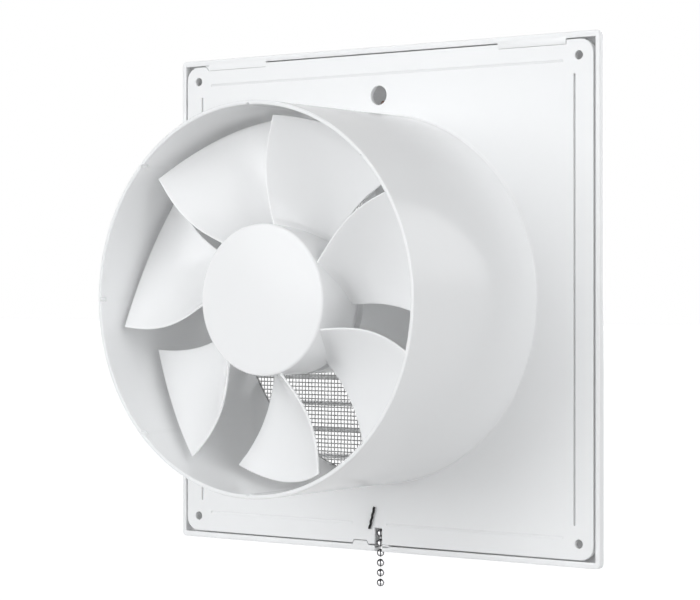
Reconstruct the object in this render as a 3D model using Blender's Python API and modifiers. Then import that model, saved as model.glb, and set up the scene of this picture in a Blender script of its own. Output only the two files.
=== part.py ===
"""Wall exhaust fan: a square base plate with a round duct behind it and a slatted cover in front.

The origin is on the fan's axis in the plane of the wall, which is the rear face of the base plate.
+Y runs into the wall along the duct, -Y is the room and +Z is up. Seen from the duct side, the
right-hand half of the fan is at negative X. All sizes below are in millimetres.
"""

import math

import bmesh
import bpy

MM = 0.001

# Running clearances
clearance = 0.3
touch_gap = 0.3

# Duct
duct_bore_radius = 73.4
duct_wall = 1.6
duct_length = 85.8
duct_front_y = -4.4
rim_notch_count = 8
rim_notch_radius = 0.5
rim_notch_depth = 1.2
duct_steps = 72

# Base plate
plate_side = 200.0
plate_thickness = 2.0
plate_corner_radius = 5.5
wall_hole_spacing = 187.5
wall_hole_radius = 1.75
cable_hole_x = -0.6
cable_hole_z = 83.1
cable_hole_radius = 3.9
groove_offset = 91.8
groove_half_length = 86.8
groove_width = 0.9
groove_depth = 0.6
groove_break = (-4.4, 12.4)
collar_wall = 1.7
collar_front_y = -6.4
screen_nub_width = 6.0
screen_nub_reach = 1.2

# Front cover
cover_side = 205.8
cover_wall = 1.8
cover_corner_radius = 2.5
cover_straight_depth = 3.4
cover_depth = 18.0
cover_front_side = 182.0
cover_top_wall = 2.4
hook_inner_x = 57.3
hook_outer_x = 88.0
hook_lower_z = 98.3
hook_thickness = 1.7
latch_centre_x = 8.5
latch_top_width = 6.3
latch_base_width = 7.9
latch_top_z = -98.9
slat_pitch = 11.0
slat_pairs = 6
slat_thickness = 1.8
slat_depth = 7.0
window_margin = 9.2

# Insect screen
screen_rear_y = -4.7
screen_thickness = 0.6
screen_pitch = 10.02
screen_wire = 0.8
screen_ring_width = 1.6

# Impeller
impeller_hub_radius = 29.0
impeller_face_y = 77.8
impeller_hub_depth = 21.8
impeller_hub_wall = 1.6
impeller_face_thickness = 1.8
impeller_edge_radius = 1.0
impeller_boss_radius = 5.5
blade_count = 7
blade_thickness = 1.2
blade_tip_radius = 70.1
blade_tip_dip = -15.3
blade_root_dip = -8.0
blade_phase = 86.2
blade_rear_sweep = (-5.5, 2.4, 2.9, 0.0)
blade_front_sweep = (-38.5, -37.1, -39.5, -43.7)
blade_rear_y = (76.2, 75.5, 75.5, 76.4)
blade_front_y = (57.6, 57.7, 57.9, 58.2)
blade_rows = 8
blade_columns = 5

# Motor mount
cup_radius = 29.0
cup_wall = 1.6
cup_rear_y = 51.0
cup_front_y = -2.2
cup_floor = 1.6
strut_width = 7.0
strut_depth = 8.5
lead_start_z = 16.4
lead_slot_width = 5.0

# Motor
shaft_radius = 2.0
shaft_front_y = 1.2
shaft_end_gap = 0.6
stator_radius = 25.0
stator_bore_radius = 12.3
stator_yoke = 5.2
stator_front_y = 14.0
stator_length = 18.0
pole_width = 8.0
pole_shoe_thickness = 2.2
pole_shoe_half_angle = 31.0
pole_count = 4
coil_thickness = 3.6
rotor_gap = 0.6
rotor_overhang = 0.5
bracket_plate = 1.3
bracket_length = 6.0
bush_radius = 3.4
bush_length = 5.0
bracket_hub_wall = 1.8
motor_screw_circle = 22.4
motor_screw_radius = 1.4
motor_screw_head_radius = 2.7
motor_screw_head_height = 1.7
motor_screw_reach = 6.5
sleeve_wall = 0.9
hub_insert_wall = 1.4
mount_boss_radius = 2.9

# Pull switch, behind the lower edge of the plate
chain_x = -0.43
chain_y = -1.75
chain_bead_radius = 1.56
chain_link_radius = 0.45
chain_pitch = 4.065
chain_end_z = -115.73
chain_straight_beads = 6
notch_width = 3.7
notch_top_z = -93.3
cover_notch_depth = 7.0
coupling_y = -4.95
coupling_wall = 0.45
coupling_height = 4.4
coupling_tongue_width = 4.4
coupling_tongue_thickness = 1.2
lever_pin_z = -82.5
lever_length = 20.0
lever_swing = 0.25
lever_pin_radius = 0.8
lever_arm_thickness = 1.6
lever_arm_height = 3.0
lever_hub_radius = 3.0
lever_hub_length = 2.8
lever_tail = 7.0
pivot_radius = 1.0
switch_width = 22.0
switch_height = 12.0
switch_wall = 1.2
switch_lid_y = -11.1
switch_lid_thickness = 1.2
spring_wire_radius = 0.25
spring_turns = 2
spring_pitch = 0.95
leaf_thickness = 0.4
leaf_overhang = 1.5
leaf_drop = 1.4
leaf_end_gap = 2.0
contact_radius = 1.1

# Wiring
terminal_x = -28.0
terminal_z = 86.2
terminal_width = 24.0
terminal_height = 11.0
terminal_depth = 8.5
terminal_ways = 3
terminal_screw_radius = 1.5
clamp_x = -9.8
clamp_z = 87.2
clamp_length = 12.0
clamp_width = 4.8
clamp_thickness = 2.0
clamp_post_height = 3.4
clamp_post_radius = 1.9
clamp_screw_radius = 0.9
clamp_screw_head_radius = 2.0
clamp_screw_head_height = 1.2
lead_radius = 0.7
lead_bend = 3.0
motor_lead_radii = (78.7, 80.5)
motor_lead_end_x = (-24.0, -20.0)
lead_turn = 1.5
switch_lead_radii = (81.2, 83.2)
switch_lead_start_x = (-26.0, -30.0)
switch_lead_end_x = (-31.5, -35.5)

# Black thread on the rear face of the plate
thread_radius = 0.35
thread_top = (1.42, -84.8)
thread_bottom = (3.86, -93.4)
thread_wave = 0.35
thread_waves = 2.5

# Values that follow from those above
duct_radius = duct_bore_radius + duct_wall
collar_bore_radius = duct_radius + clearance
collar_radius = collar_bore_radius + collar_wall
plate_half = plate_side / 2
plate_front_y = -plate_thickness
cover_half = cover_side / 2
cover_front_half = cover_front_side / 2
cover_front_y = -cover_depth
window_half = slat_pairs * slat_pitch + slat_thickness / 2 + window_margin
screen_front_y = screen_rear_y - screen_thickness
impeller_rear_y = impeller_face_y - impeller_hub_depth
cup_inner_radius = cup_radius - cup_wall
cup_floor_y = cup_front_y + cup_floor
stator_rear_y = stator_front_y + stator_length
bush_bore_radius = shaft_radius + clearance
bracket_bore_radius = bush_radius + touch_gap
bracket_hub_radius = bracket_bore_radius + bracket_hub_wall
front_bracket_y = stator_front_y - touch_gap
rear_bracket_y = stator_rear_y + touch_gap
screw_hole_radius = motor_screw_radius + clearance
boss_rear_y = front_bracket_y - bracket_length - touch_gap
rotor_radius = stator_bore_radius - rotor_gap
shaft_rear_y = impeller_face_y - impeller_face_thickness - shaft_end_gap
pivot_x = chain_x - lever_length * math.cos(lever_swing / 2)
pivot_z = lever_pin_z - lever_length * math.sin(lever_swing / 2)
top_bead_z = chain_end_z + (chain_straight_beads - 1) * chain_pitch
lead_y = plate_front_y - touch_gap - lead_radius

parts = None
helpers = None


def clear_scene():
    for obj in list(bpy.data.objects):
        bpy.data.objects.remove(obj, do_unlink=True)


def new_collection(name, parent):
    collection = bpy.data.collections.new(name)
    parent.children.link(collection)
    return collection


def material(name, colour, roughness, metallic=0.0):
    made = bpy.data.materials.new(name)
    made.use_nodes = True
    shader = made.node_tree.nodes["Principled BSDF"]
    shader.inputs["Base Color"].default_value = (*colour, 1.0)
    shader.inputs["Roughness"].default_value = roughness
    shader.inputs["Metallic"].default_value = metallic
    return made


def place(obj, finish=None):
    """Put a new object among the parts, with a material of its own if one is given."""
    parts.objects.link(obj)
    if finish:
        obj.data.materials.clear()
        obj.data.materials.append(material(obj.name, *finish))
    return obj


def mesh_object(name, bm, finish=None):
    mesh = bpy.data.meshes.new(name)
    bm.to_mesh(mesh)
    bm.free()
    return place(bpy.data.objects.new(name, mesh), finish)


def box(name, x, y, z, finish=None):
    """A block between the two limits given for each axis."""
    bm = bmesh.new()
    bmesh.ops.create_cube(bm, size=1.0)
    size = [abs(limits[1] - limits[0]) * MM for limits in (x, y, z)]
    centre = [(limits[0] + limits[1]) / 2 * MM for limits in (x, y, z)]
    bmesh.ops.scale(bm, vec=size, verts=bm.verts)
    bmesh.ops.translate(bm, vec=centre, verts=bm.verts)
    return mesh_object(name, bm, finish)


def turned(name, profile, steps, finish=None, x=0.0, z=0.0):
    """A solid turned round a line along Y; its profile is (radius, y), from high y down the outer side."""
    bm = bmesh.new()
    points = [bm.verts.new((radius * MM, 0.0, y * MM)) for radius, y in profile]
    for start, end in zip(points, points[1:]):
        bm.edges.new((start, end))
    if profile[0][0] > 0:
        bm.edges.new((points[-1], points[0]))
    obj = mesh_object(name, bm, finish)
    screw = obj.modifiers.new("Turn", "SCREW")
    screw.steps = steps
    screw.render_steps = steps
    screw.use_merge_vertices = True
    screw.merge_threshold = 0.00001
    obj.rotation_euler = (-math.pi / 2, 0.0, 0.0)
    obj.location = (x * MM, 0.0, z * MM)
    return obj


def rod(name, radius, y0, y1, steps, finish=None, x=0.0, z=0.0):
    return turned(name, [(0, y1), (radius, y1), (radius, y0), (0, y0)], steps, finish, x, z)


def ring(name, inner, outer, y0, y1, steps, finish=None, x=0.0, z=0.0):
    return turned(
        name, [(inner, y1), (outer, y1), (outer, y0), (inner, y0)], steps, finish, x, z
    )


def curve_to_mesh(curve_object, finish=None):
    """Replace a curve by the mesh it makes, with its caps welded on."""
    bpy.context.view_layer.update()
    graph = bpy.context.evaluated_depsgraph_get()
    mesh = bpy.data.meshes.new_from_object(curve_object.evaluated_get(graph))
    bm = bmesh.new()
    bm.from_mesh(mesh)
    bmesh.ops.remove_doubles(bm, verts=bm.verts, dist=0.000001)
    bm.to_mesh(mesh)
    bm.free()
    name = curve_object.name
    curve_object.name = name + "_outline"
    obj = place(bpy.data.objects.new(name, mesh), finish)
    obj.matrix_world = curve_object.matrix_world.copy()
    bpy.data.objects.remove(curve_object, do_unlink=True)
    return obj


def prism(name, outline, y0, y1, finish=None):
    """A flat outline of (x, z) points, made solid between two depths."""
    curve = bpy.data.curves.new(name, "CURVE")
    curve.dimensions = "2D"
    curve.fill_mode = "BOTH"
    curve.extrude = abs(y1 - y0) / 2 * MM
    spline = curve.splines.new("POLY")
    spline.points.add(len(outline) - 1)
    for point, (x, z) in zip(spline.points, outline):
        point.co = (x * MM, -z * MM, 0.0, 1.0)
    spline.use_cyclic_u = True
    obj = place(bpy.data.objects.new(name, curve))
    obj.rotation_euler = (-math.pi / 2, 0.0, 0.0)
    obj.location = (0.0, (y0 + y1) / 2 * MM, 0.0)
    return curve_to_mesh(obj, finish)


def tube(name, path, radius, resolution, finish=None):
    """A round wire along a list of (x, y, z) points."""
    curve = bpy.data.curves.new(name, "CURVE")
    curve.dimensions = "3D"
    curve.bevel_depth = radius * MM
    curve.bevel_resolution = resolution
    curve.use_fill_caps = True
    spline = curve.splines.new("POLY")
    spline.points.add(len(path) - 1)
    for point, place_mm in zip(spline.points, path):
        point.co = (*[value * MM for value in place_mm], 1.0)
    return place(bpy.data.objects.new(name, curve), finish)


def combine(target, tools, operation):
    """Join tools to the target, or cut them from it; the tools stay as hidden helpers."""
    group = new_collection(f"{target.name}_{operation.lower()}", helpers)
    for tool in tools:
        parts.objects.unlink(tool)
        group.objects.link(tool)
        tool.hide_render = True
        tool.display_type = "WIRE"
    modifier = target.modifiers.new(operation.title(), "BOOLEAN")
    modifier.operation = operation
    modifier.operand_type = "COLLECTION"
    modifier.collection = group
    modifier.solver = "EXACT"
    return target


def rounded_rectangle(half_x, half_z, radius, steps=5):
    points = []
    for turn, (sign_x, sign_z) in enumerate(((1, 1), (-1, 1), (-1, -1), (1, -1))):
        for step in range(steps + 1):
            angle = math.pi / 2 * (turn + step / steps)
            points.append(
                (
                    sign_x * (half_x - radius) + radius * math.cos(angle),
                    sign_z * (half_z - radius) + radius * math.sin(angle),
                )
            )
    return points


def sector(inner, outer, middle, half_angle, steps=5):
    """The outline of a piece of ring, with its angles in degrees."""
    angles = [
        math.radians(middle - half_angle + 2 * half_angle * step / steps)
        for step in range(steps + 1)
    ]
    far = [(outer * math.cos(a), outer * math.sin(a)) for a in angles]
    near = [(inner * math.cos(a), inner * math.sin(a)) for a in reversed(angles)]
    return far + near


def lofted(name, sections, finish=None):
    """A closed shell through outlines of equal point count, each given with its depth."""
    bm = bmesh.new()
    loops = []
    for outline, y in sections:
        points = [bm.verts.new((x * MM, y * MM, z * MM)) for x, z in outline]
        edges = [
            bm.edges.new((points[i], points[(i + 1) % len(points)]))
            for i in range(len(points))
        ]
        loops.append(edges)
    bmesh.ops.contextual_create(bm, geom=loops[0])
    for near, far in zip(loops, loops[1:]):
        bmesh.ops.bridge_loops(bm, edges=near + far)
    bmesh.ops.contextual_create(bm, geom=loops[-1])
    bmesh.ops.recalc_face_normals(bm, faces=bm.faces)
    return mesh_object(name, bm, finish)


def on_circle(radius, degrees):
    """The x and z of a place on a circle round the fan's axis, with 0 at +X and 90 at the top."""
    angle = math.radians(degrees)
    return radius * math.cos(angle), radius * math.sin(angle)


def corner_places(half):
    return [(x, z) for x in (-half, half) for z in (-half, half)]


def motor_screw_places():
    return [on_circle(motor_screw_circle, 45 + 90 * turn) for turn in range(4)]


def clamp_screw_places():
    offset = clamp_length / 2 - clamp_post_radius - clearance
    return [(clamp_x, clamp_z - offset), (clamp_x, clamp_z + offset)]


# Finishes: colour, roughness, metallic
white_plastic = ((0.86, 0.87, 0.87), 0.35)
impeller_plastic = ((0.88, 0.89, 0.90), 0.3)
screen_grey = ((0.35, 0.36, 0.36), 0.5)
bright_steel = ((0.6, 0.6, 0.62), 0.3, 1.0)
lamination_steel = ((0.3, 0.31, 0.33), 0.5, 1.0)
chrome = ((0.75, 0.75, 0.76), 0.12, 1.0)
copper = ((0.7, 0.3, 0.12), 0.35, 1.0)
brass = ((0.75, 0.58, 0.25), 0.3, 1.0)
bronze = ((0.5, 0.33, 0.16), 0.45, 1.0)
dark_plastic = ((0.05, 0.05, 0.055), 0.5)
cream_plastic = ((0.75, 0.72, 0.62), 0.45)
black_thread = ((0.01, 0.01, 0.01), 0.8)
lead_blue = ((0.05, 0.12, 0.4), 0.45)
lead_brown = ((0.2, 0.08, 0.03), 0.45)


def make_housing():
    """One moulding: the base plate, the duct with its collar, and the motor cup on its four struts."""
    housing = prism(
        "fan_housing",
        rounded_rectangle(plate_half, plate_half, plate_corner_radius),
        plate_front_y,
        0.0,
        white_plastic,
    )
    through = (plate_front_y - 1.0, 1.0)
    wall_middle = duct_radius - duct_wall / 2
    combine(housing, [rod("duct_hole", wall_middle, *through, duct_steps)], "DIFFERENCE")
    adds = duct_pieces(wall_middle) + motor_mount_pieces(wall_middle)
    for number, (x, z) in enumerate(clamp_screw_places()):
        post = (plate_front_y - clamp_post_height, plate_front_y / 2)
        adds.append(rod(f"clamp_post_{number + 1}", clamp_post_radius, *post, 16, x=x, z=z))
    combine(housing, adds, "UNION")

    cuts = []
    for number, (x, z) in enumerate(corner_places(wall_hole_spacing / 2)):
        cuts.append(rod(f"wall_hole_{number + 1}", wall_hole_radius, *through, 20, x=x, z=z))
    cuts.append(
        rod("cable_hole", cable_hole_radius, *through, 28, x=cable_hole_x, z=cable_hole_z)
    )
    cuts += plate_edge_cuts(through)
    cuts += plate_groove_cuts()
    cuts += rim_notch_cuts()
    cuts += screw_pilot_cuts()
    cuts += lead_cuts()
    return combine(housing, cuts, "DIFFERENCE")


def duct_pieces(wall_middle):
    """The duct's tube, the collar round its front end and the four nubs that hold the insect screen."""
    bevel = duct_wall / 4
    duct = turned(
        "duct",
        [
            (duct_bore_radius + bevel, duct_length),
            (duct_radius - bevel, duct_length),
            (duct_radius, duct_length - bevel),
            (duct_radius, duct_front_y),
            (duct_bore_radius, duct_front_y),
            (duct_bore_radius, duct_length - bevel),
        ],
        duct_steps,
    )
    collar = turned(
        "collar",
        [
            (wall_middle, plate_front_y / 2),
            (collar_radius, plate_front_y / 2),
            (collar_radius, collar_front_y),
            (collar_bore_radius, collar_front_y),
            (collar_bore_radius, duct_front_y),
            (wall_middle, duct_front_y),
        ],
        duct_steps,
    )
    pieces = [duct, collar]
    for turn in range(4):
        degrees = 45 + 90 * turn
        nub = box(
            f"screen_nub_{turn + 1}",
            (collar_bore_radius - screen_nub_reach, collar_radius - collar_wall / 2),
            (collar_front_y, screen_front_y - touch_gap),
            (-screen_nub_width / 2, screen_nub_width / 2),
        )
        nub.rotation_euler = (0.0, -math.radians(degrees), 0.0)
        pieces.append(nub)
    return pieces


def motor_mount_pieces(wall_middle):
    """The cup that holds the motor, the four struts that reach the duct's wall and the screw bosses."""
    cup = turned(
        "motor_cup",
        [
            (cup_inner_radius, cup_rear_y),
            (cup_radius, cup_rear_y),
            (cup_radius, cup_front_y),
            (0, cup_front_y),
            (0, cup_floor_y),
            (cup_inner_radius, cup_floor_y),
        ],
        48,
    )
    pieces = [cup]
    for turn in range(4):
        strut = box(
            f"strut_{turn + 1}",
            (cup_radius - cup_wall / 2, wall_middle),
            (cup_front_y, cup_front_y + strut_depth),
            (-strut_width / 2, strut_width / 2),
        )
        strut.rotation_euler = (0.0, math.pi / 2 * turn, 0.0)
        pieces.append(strut)
    for number, (x, z) in enumerate(motor_screw_places()):
        ends = (cup_floor_y - cup_floor / 2, boss_rear_y)
        pieces.append(rod(f"mount_boss_{number + 1}", mount_boss_radius, *ends, 20, x=x, z=z))
    return pieces


def rim_notch_cuts():
    cuts = []
    for number in range(rim_notch_count):
        x, z = on_circle(duct_bore_radius, 360 / rim_notch_count * number + 90)
        ends = (duct_length - rim_notch_depth, duct_length + 1.0)
        cuts.append(rod(f"rim_notch_{number + 1}", rim_notch_radius, *ends, 10, x=x, z=z))
    return cuts


def screw_pilot_cuts():
    """The blind holes for the motor's long screws and for the cable clamp's two screws."""
    cuts = []
    ends = (boss_rear_y - motor_screw_reach - clearance, boss_rear_y + 1.0)
    for number, (x, z) in enumerate(motor_screw_places()):
        cuts.append(rod(f"mount_pilot_{number + 1}", screw_hole_radius, *ends, 14, x=x, z=z))
    ends = (plate_front_y - clamp_post_height - 1.0, plate_front_y - touch_gap)
    radius = clamp_screw_radius + clearance
    for number, (x, z) in enumerate(clamp_screw_places()):
        cuts.append(rod(f"clamp_pilot_{number + 1}", radius, *ends, 12, x=x, z=z))
    return cuts


def lead_cuts():
    """The slot in the cup's floor and the window in the collar that the motor's leads pass through."""
    slot_half = lead_slot_width / 2
    slot = box(
        "lead_slot",
        (-slot_half, slot_half),
        (cup_front_y - 1.0, cup_floor_y + 1.0),
        (lead_start_z - lead_radius - clearance, lead_start_z + lead_radius + lead_bend / 2),
    )
    window = box(
        "lead_window",
        (-slot_half, slot_half),
        (collar_front_y - 1.0, plate_front_y),
        (duct_bore_radius - 1.0, collar_radius + 1.0),
    )
    return [slot, window]


def plate_edge_cuts(through):
    """The recesses in the plate's edge for the cover's two hooks and its latch, and for the chain."""
    cuts = []
    for side, sign in (("left", 1), ("right", -1)):
        cuts.append(
            box(
                f"hook_recess_{side}",
                (sign * (hook_inner_x - clearance), sign * (hook_outer_x + clearance)),
                through,
                (hook_lower_z - clearance, plate_half + 1.0),
            )
        )
    cuts.append(prism("latch_recess", latch_outline(clearance, -plate_half - 1.0), *through))
    notch_half = notch_width / 2
    cuts.append(
        box(
            "chain_notch",
            (chain_x - notch_half, chain_x + notch_half),
            through,
            (-plate_half - 1.0, notch_top_z),
        )
    )
    return cuts


def latch_outline(margin, bottom_z):
    """The tapered latch below the plate, widened by a margin and run down to a given height."""
    top = latch_top_z + margin
    slope = (latch_base_width - latch_top_width) / 2 / (plate_half + latch_top_z)
    half_top = latch_top_width / 2 + margin
    half_bottom = half_top + slope * (top - bottom_z)
    return [
        (latch_centre_x - half_bottom, bottom_z),
        (latch_centre_x + half_bottom, bottom_z),
        (latch_centre_x + half_top, top),
        (latch_centre_x - half_top, top),
    ]


def plate_groove_cuts():
    """Thin lines sunk in the rear face, parallel to the four edges."""
    half = groove_width / 2
    depth = (-groove_depth, 1.0)
    along = (-groove_half_length, groove_half_length)
    beside = (groove_offset - half, groove_offset + half)
    below = (-beside[1], -beside[0])
    return [
        box("groove_top", along, depth, beside),
        box("groove_left", beside, depth, along),
        box("groove_right", below, depth, along),
        box("groove_bottom_right", (along[0], groove_break[0]), depth, below),
        box("groove_bottom_left", (groove_break[1], along[1]), depth, below),
    ]


def make_front_cover():
    inner_half = cover_half - cover_wall
    inner_front_half = cover_front_half - cover_wall
    inner_front_y = cover_front_y + cover_wall
    inner_radius = max(cover_corner_radius - cover_wall, 0.4)
    top_drop = (cover_top_wall - cover_wall) / 2

    def square(half, radius, lower=0.0):
        outline = rounded_rectangle(half, half - lower, radius)
        return [(x, z - lower) for x, z in outline]

    cover = lofted(
        "front_cover",
        [
            (square(cover_half, cover_corner_radius), 0.0),
            (square(cover_half, cover_corner_radius), -cover_straight_depth),
            (square(cover_front_half, cover_corner_radius), cover_front_y),
        ],
        white_plastic,
    )
    cavity = lofted(
        "cover_cavity",
        [
            (square(inner_half, inner_radius, top_drop), 1.0),
            (square(inner_half, inner_radius, top_drop), -cover_straight_depth),
            (square(inner_front_half, inner_radius, top_drop), inner_front_y),
        ],
    )
    window = (-window_half, window_half)
    opening = box("cover_window", window, (cover_front_y - 1.0, inner_front_y + 1.0), window)
    notch_half = notch_width / 2 + clearance
    wall_slope = (cover_half - cover_front_half) / (cover_depth - cover_straight_depth)
    wall_rise = max(cover_notch_depth - cover_straight_depth, 0.0) * wall_slope
    notch = box(
        "cover_chain_notch",
        (chain_x - notch_half, chain_x + notch_half),
        (-cover_notch_depth, 1.0),
        (-cover_half - 1.0, -inner_half + wall_rise + 1.0),
    )
    combine(cover, [cavity, opening, notch], "DIFFERENCE")

    adds = []
    anchor = cover_wall / 2
    for number in range(-slat_pairs, slat_pairs + 1):
        z = number * slat_pitch
        adds.append(
            box(
                f"slat_{number + slat_pairs + 1}",
                (-window_half - anchor, window_half + anchor),
                (cover_front_y + 0.1, cover_front_y + slat_depth),
                (z - slat_thickness / 2, z + slat_thickness / 2),
            )
        )
    for side, sign in (("left", 1), ("right", -1)):
        adds.append(
            box(
                f"slat_rail_{side}",
                (sign * window_half, sign * (window_half + cover_wall)),
                (cover_front_y + anchor, cover_front_y + slat_depth + 0.2),
                window,
            )
        )
        adds.append(
            box(
                f"hook_{side}",
                (sign * hook_inner_x, sign * hook_outer_x),
                (-hook_thickness, 0.0),
                (hook_lower_z, cover_half - cover_wall / 2),
            )
        )
    adds.append(
        prism("latch", latch_outline(0.0, -cover_half + cover_wall / 2), -hook_thickness, 0.0)
    )
    return combine(cover, adds, "UNION")


def make_insect_screen():
    radius = collar_bore_radius - clearance
    screen = rod("insect_screen", radius, screen_front_y, screen_rear_y, 72, screen_grey)
    inner = radius - screen_ring_width
    reach = int(inner // screen_pitch) + 1
    hole = screen_pitch - screen_wire
    bm = bmesh.new()
    for column in range(-reach, reach + 1):
        for row in range(-reach, reach + 1):
            x = column * screen_pitch
            z = row * screen_pitch
            if math.hypot(x, z) > inner + hole / 10:
                continue
            made = bmesh.ops.create_cube(bm, size=hole * MM)["verts"]
            bmesh.ops.translate(
                bm, verts=made, vec=(x * MM, (screen_rear_y + screen_front_y) / 2 * MM, z * MM)
            )
    gaps = mesh_object("screen_gaps", bm)
    combine(gaps, [rod("screen_bore", inner, screen_front_y - 1, screen_rear_y + 1, 72)], "INTERSECT")
    return combine(screen, [gaps], "DIFFERENCE")


def through_four(values, share):
    """A smooth curve through four values spaced evenly from 0 to 1."""
    total = 0.0
    for index, value in enumerate(values):
        weight = 1.0
        for other in range(4):
            if other != index:
                weight *= (3 * share - other) / (index - other)
        total += value * weight
    return total


def blade_point(span, chord):
    """A place on the middle surface of the first blade; span runs root to tip, chord rear to front."""
    root_radius = impeller_hub_radius - impeller_hub_wall / 2
    radius = root_radius + (blade_tip_radius - root_radius) * span
    share = max((radius - impeller_hub_radius) / (blade_tip_radius - impeller_hub_radius), 0.0)
    rear_angle = blade_phase + through_four(blade_rear_sweep, share)
    front_angle = blade_phase + through_four(blade_front_sweep, share)
    rear_y = through_four(blade_rear_y, share)
    front_y = through_four(blade_front_y, share)
    dip = blade_root_dip + (blade_tip_dip - blade_root_dip) * share
    angle = math.radians(rear_angle + (front_angle - rear_angle) * chord)
    y = rear_y + (front_y - rear_y) * chord + dip * chord * (1 - chord)
    return -radius * math.cos(angle), y, radius * math.sin(angle)


def make_blade(number):
    bm = bmesh.new()
    bmesh.ops.create_grid(bm, x_segments=blade_rows, y_segments=blade_columns, size=0.5)
    for vert in bm.verts:
        x, y, z = blade_point(vert.co.x + 0.5, vert.co.y + 0.5)
        vert.co = (x * MM, y * MM, z * MM)
    blade = mesh_object(f"blade_{number + 1}", bm)
    thicken = blade.modifiers.new("Thickness", "SOLIDIFY")
    thicken.thickness = blade_thickness * MM
    thicken.offset = 0.0
    blade.rotation_euler = (0.0, math.radians(360 / blade_count * number), 0.0)
    return blade


def make_impeller():
    inner = impeller_hub_radius - impeller_hub_wall
    face_y = impeller_face_y
    edge = impeller_edge_radius
    inner_y = face_y - impeller_face_thickness
    rounded = [
        (
            impeller_hub_radius - edge + edge * math.sin(math.pi / 2 * step / 3),
            face_y - edge + edge * math.cos(math.pi / 2 * step / 3),
        )
        for step in range(4)
    ]
    boss_bore = shaft_radius + clearance + hub_insert_wall + touch_gap
    boss_front_y = impeller_rear_y + 3.0
    impeller = turned(
        "impeller",
        [(0, face_y)]
        + rounded
        + [
            (impeller_hub_radius, impeller_rear_y),
            (inner, impeller_rear_y),
            (inner, inner_y),
            (impeller_boss_radius + 1.0, inner_y),
            (impeller_boss_radius, boss_front_y),
            (boss_bore, boss_front_y),
            (boss_bore, inner_y),
            (0, inner_y),
        ],
        48,
        impeller_plastic,
    )
    combine(impeller, [make_blade(number) for number in range(blade_count)], "UNION")
    ring(
        "hub_insert",
        shaft_radius + clearance,
        shaft_radius + clearance + hub_insert_wall,
        boss_front_y,
        inner_y - touch_gap,
        24,
        brass,
    )
    rod("motor_shaft", shaft_radius, shaft_front_y, shaft_rear_y, 24, bright_steel)
    return impeller


def make_motor():
    yoke_inner = stator_radius - stator_yoke
    stator = ring(
        "stator_core",
        yoke_inner,
        stator_radius,
        stator_front_y,
        stator_rear_y,
        48,
        lamination_steel,
    )
    adds = []
    half = pole_width / 2
    for number in range(pole_count):
        degrees = 90 * number
        neck = box(
            f"pole_neck_{number + 1}",
            (stator_bore_radius + pole_shoe_thickness / 2, yoke_inner + stator_yoke / 3),
            (stator_front_y, stator_rear_y),
            (-half, half),
        )
        neck.rotation_euler = (0.0, -math.radians(degrees), 0.0)
        adds.append(neck)
        adds.append(
            prism(
                f"pole_shoe_{number + 1}",
                sector(
                    stator_bore_radius,
                    stator_bore_radius + pole_shoe_thickness,
                    degrees,
                    pole_shoe_half_angle,
                ),
                stator_front_y,
                stator_rear_y,
            )
        )
    combine(stator, adds, "UNION")
    cuts = [
        rod(
            f"stator_hole_{number + 1}",
            screw_hole_radius,
            stator_front_y - 1.0,
            stator_rear_y + 1.0,
            14,
            x=x,
            z=z,
        )
        for number, (x, z) in enumerate(motor_screw_places())
    ]
    combine(stator, cuts, "DIFFERENCE")
    for number in range(pole_count):
        make_coil(number, yoke_inner)
    rotor_bore = shaft_radius + touch_gap
    ring(
        "rotor",
        rotor_bore,
        rotor_radius,
        stator_front_y - rotor_overhang,
        stator_rear_y + rotor_overhang,
        32,
        lamination_steel,
    )


def make_coil(number, yoke_inner):
    """One winding round a pole, as a rounded frame that stands off the pole by a small gap."""
    inner_x = pole_width / 2 + touch_gap
    inner_y = stator_length / 2 + touch_gap
    near = stator_bore_radius + pole_shoe_thickness + touch_gap
    far = math.sqrt(yoke_inner**2 - (inner_x + coil_thickness) ** 2) - touch_gap
    middle_y = (stator_front_y + stator_rear_y) / 2
    outer = rounded_rectangle(inner_x + coil_thickness, inner_y + coil_thickness, 2.0, 4)
    bm = bmesh.new()
    loops = []
    for height in (near, far):
        points = [bm.verts.new((height * MM, (middle_y + v) * MM, u * MM)) for u, v in outer]
        loops.append(
            [bm.edges.new((points[i], points[(i + 1) % len(points)])) for i in range(len(points))]
        )
        bmesh.ops.contextual_create(bm, geom=loops[-1])
    bmesh.ops.bridge_loops(bm, edges=loops[0] + loops[1])
    bmesh.ops.recalc_face_normals(bm, faces=bm.faces)
    coil = mesh_object(f"coil_{number + 1}", bm, copper)
    hole = box(
        f"coil_hole_{number + 1}",
        (near - 1.0, far + 1.0),
        (middle_y - inner_y, middle_y + inner_y),
        (-inner_x, inner_x),
    )
    turn = (0.0, -math.radians(90 * number), 0.0)
    coil.rotation_euler = turn
    hole.rotation_euler = turn
    return combine(coil, [hole], "DIFFERENCE")


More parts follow.
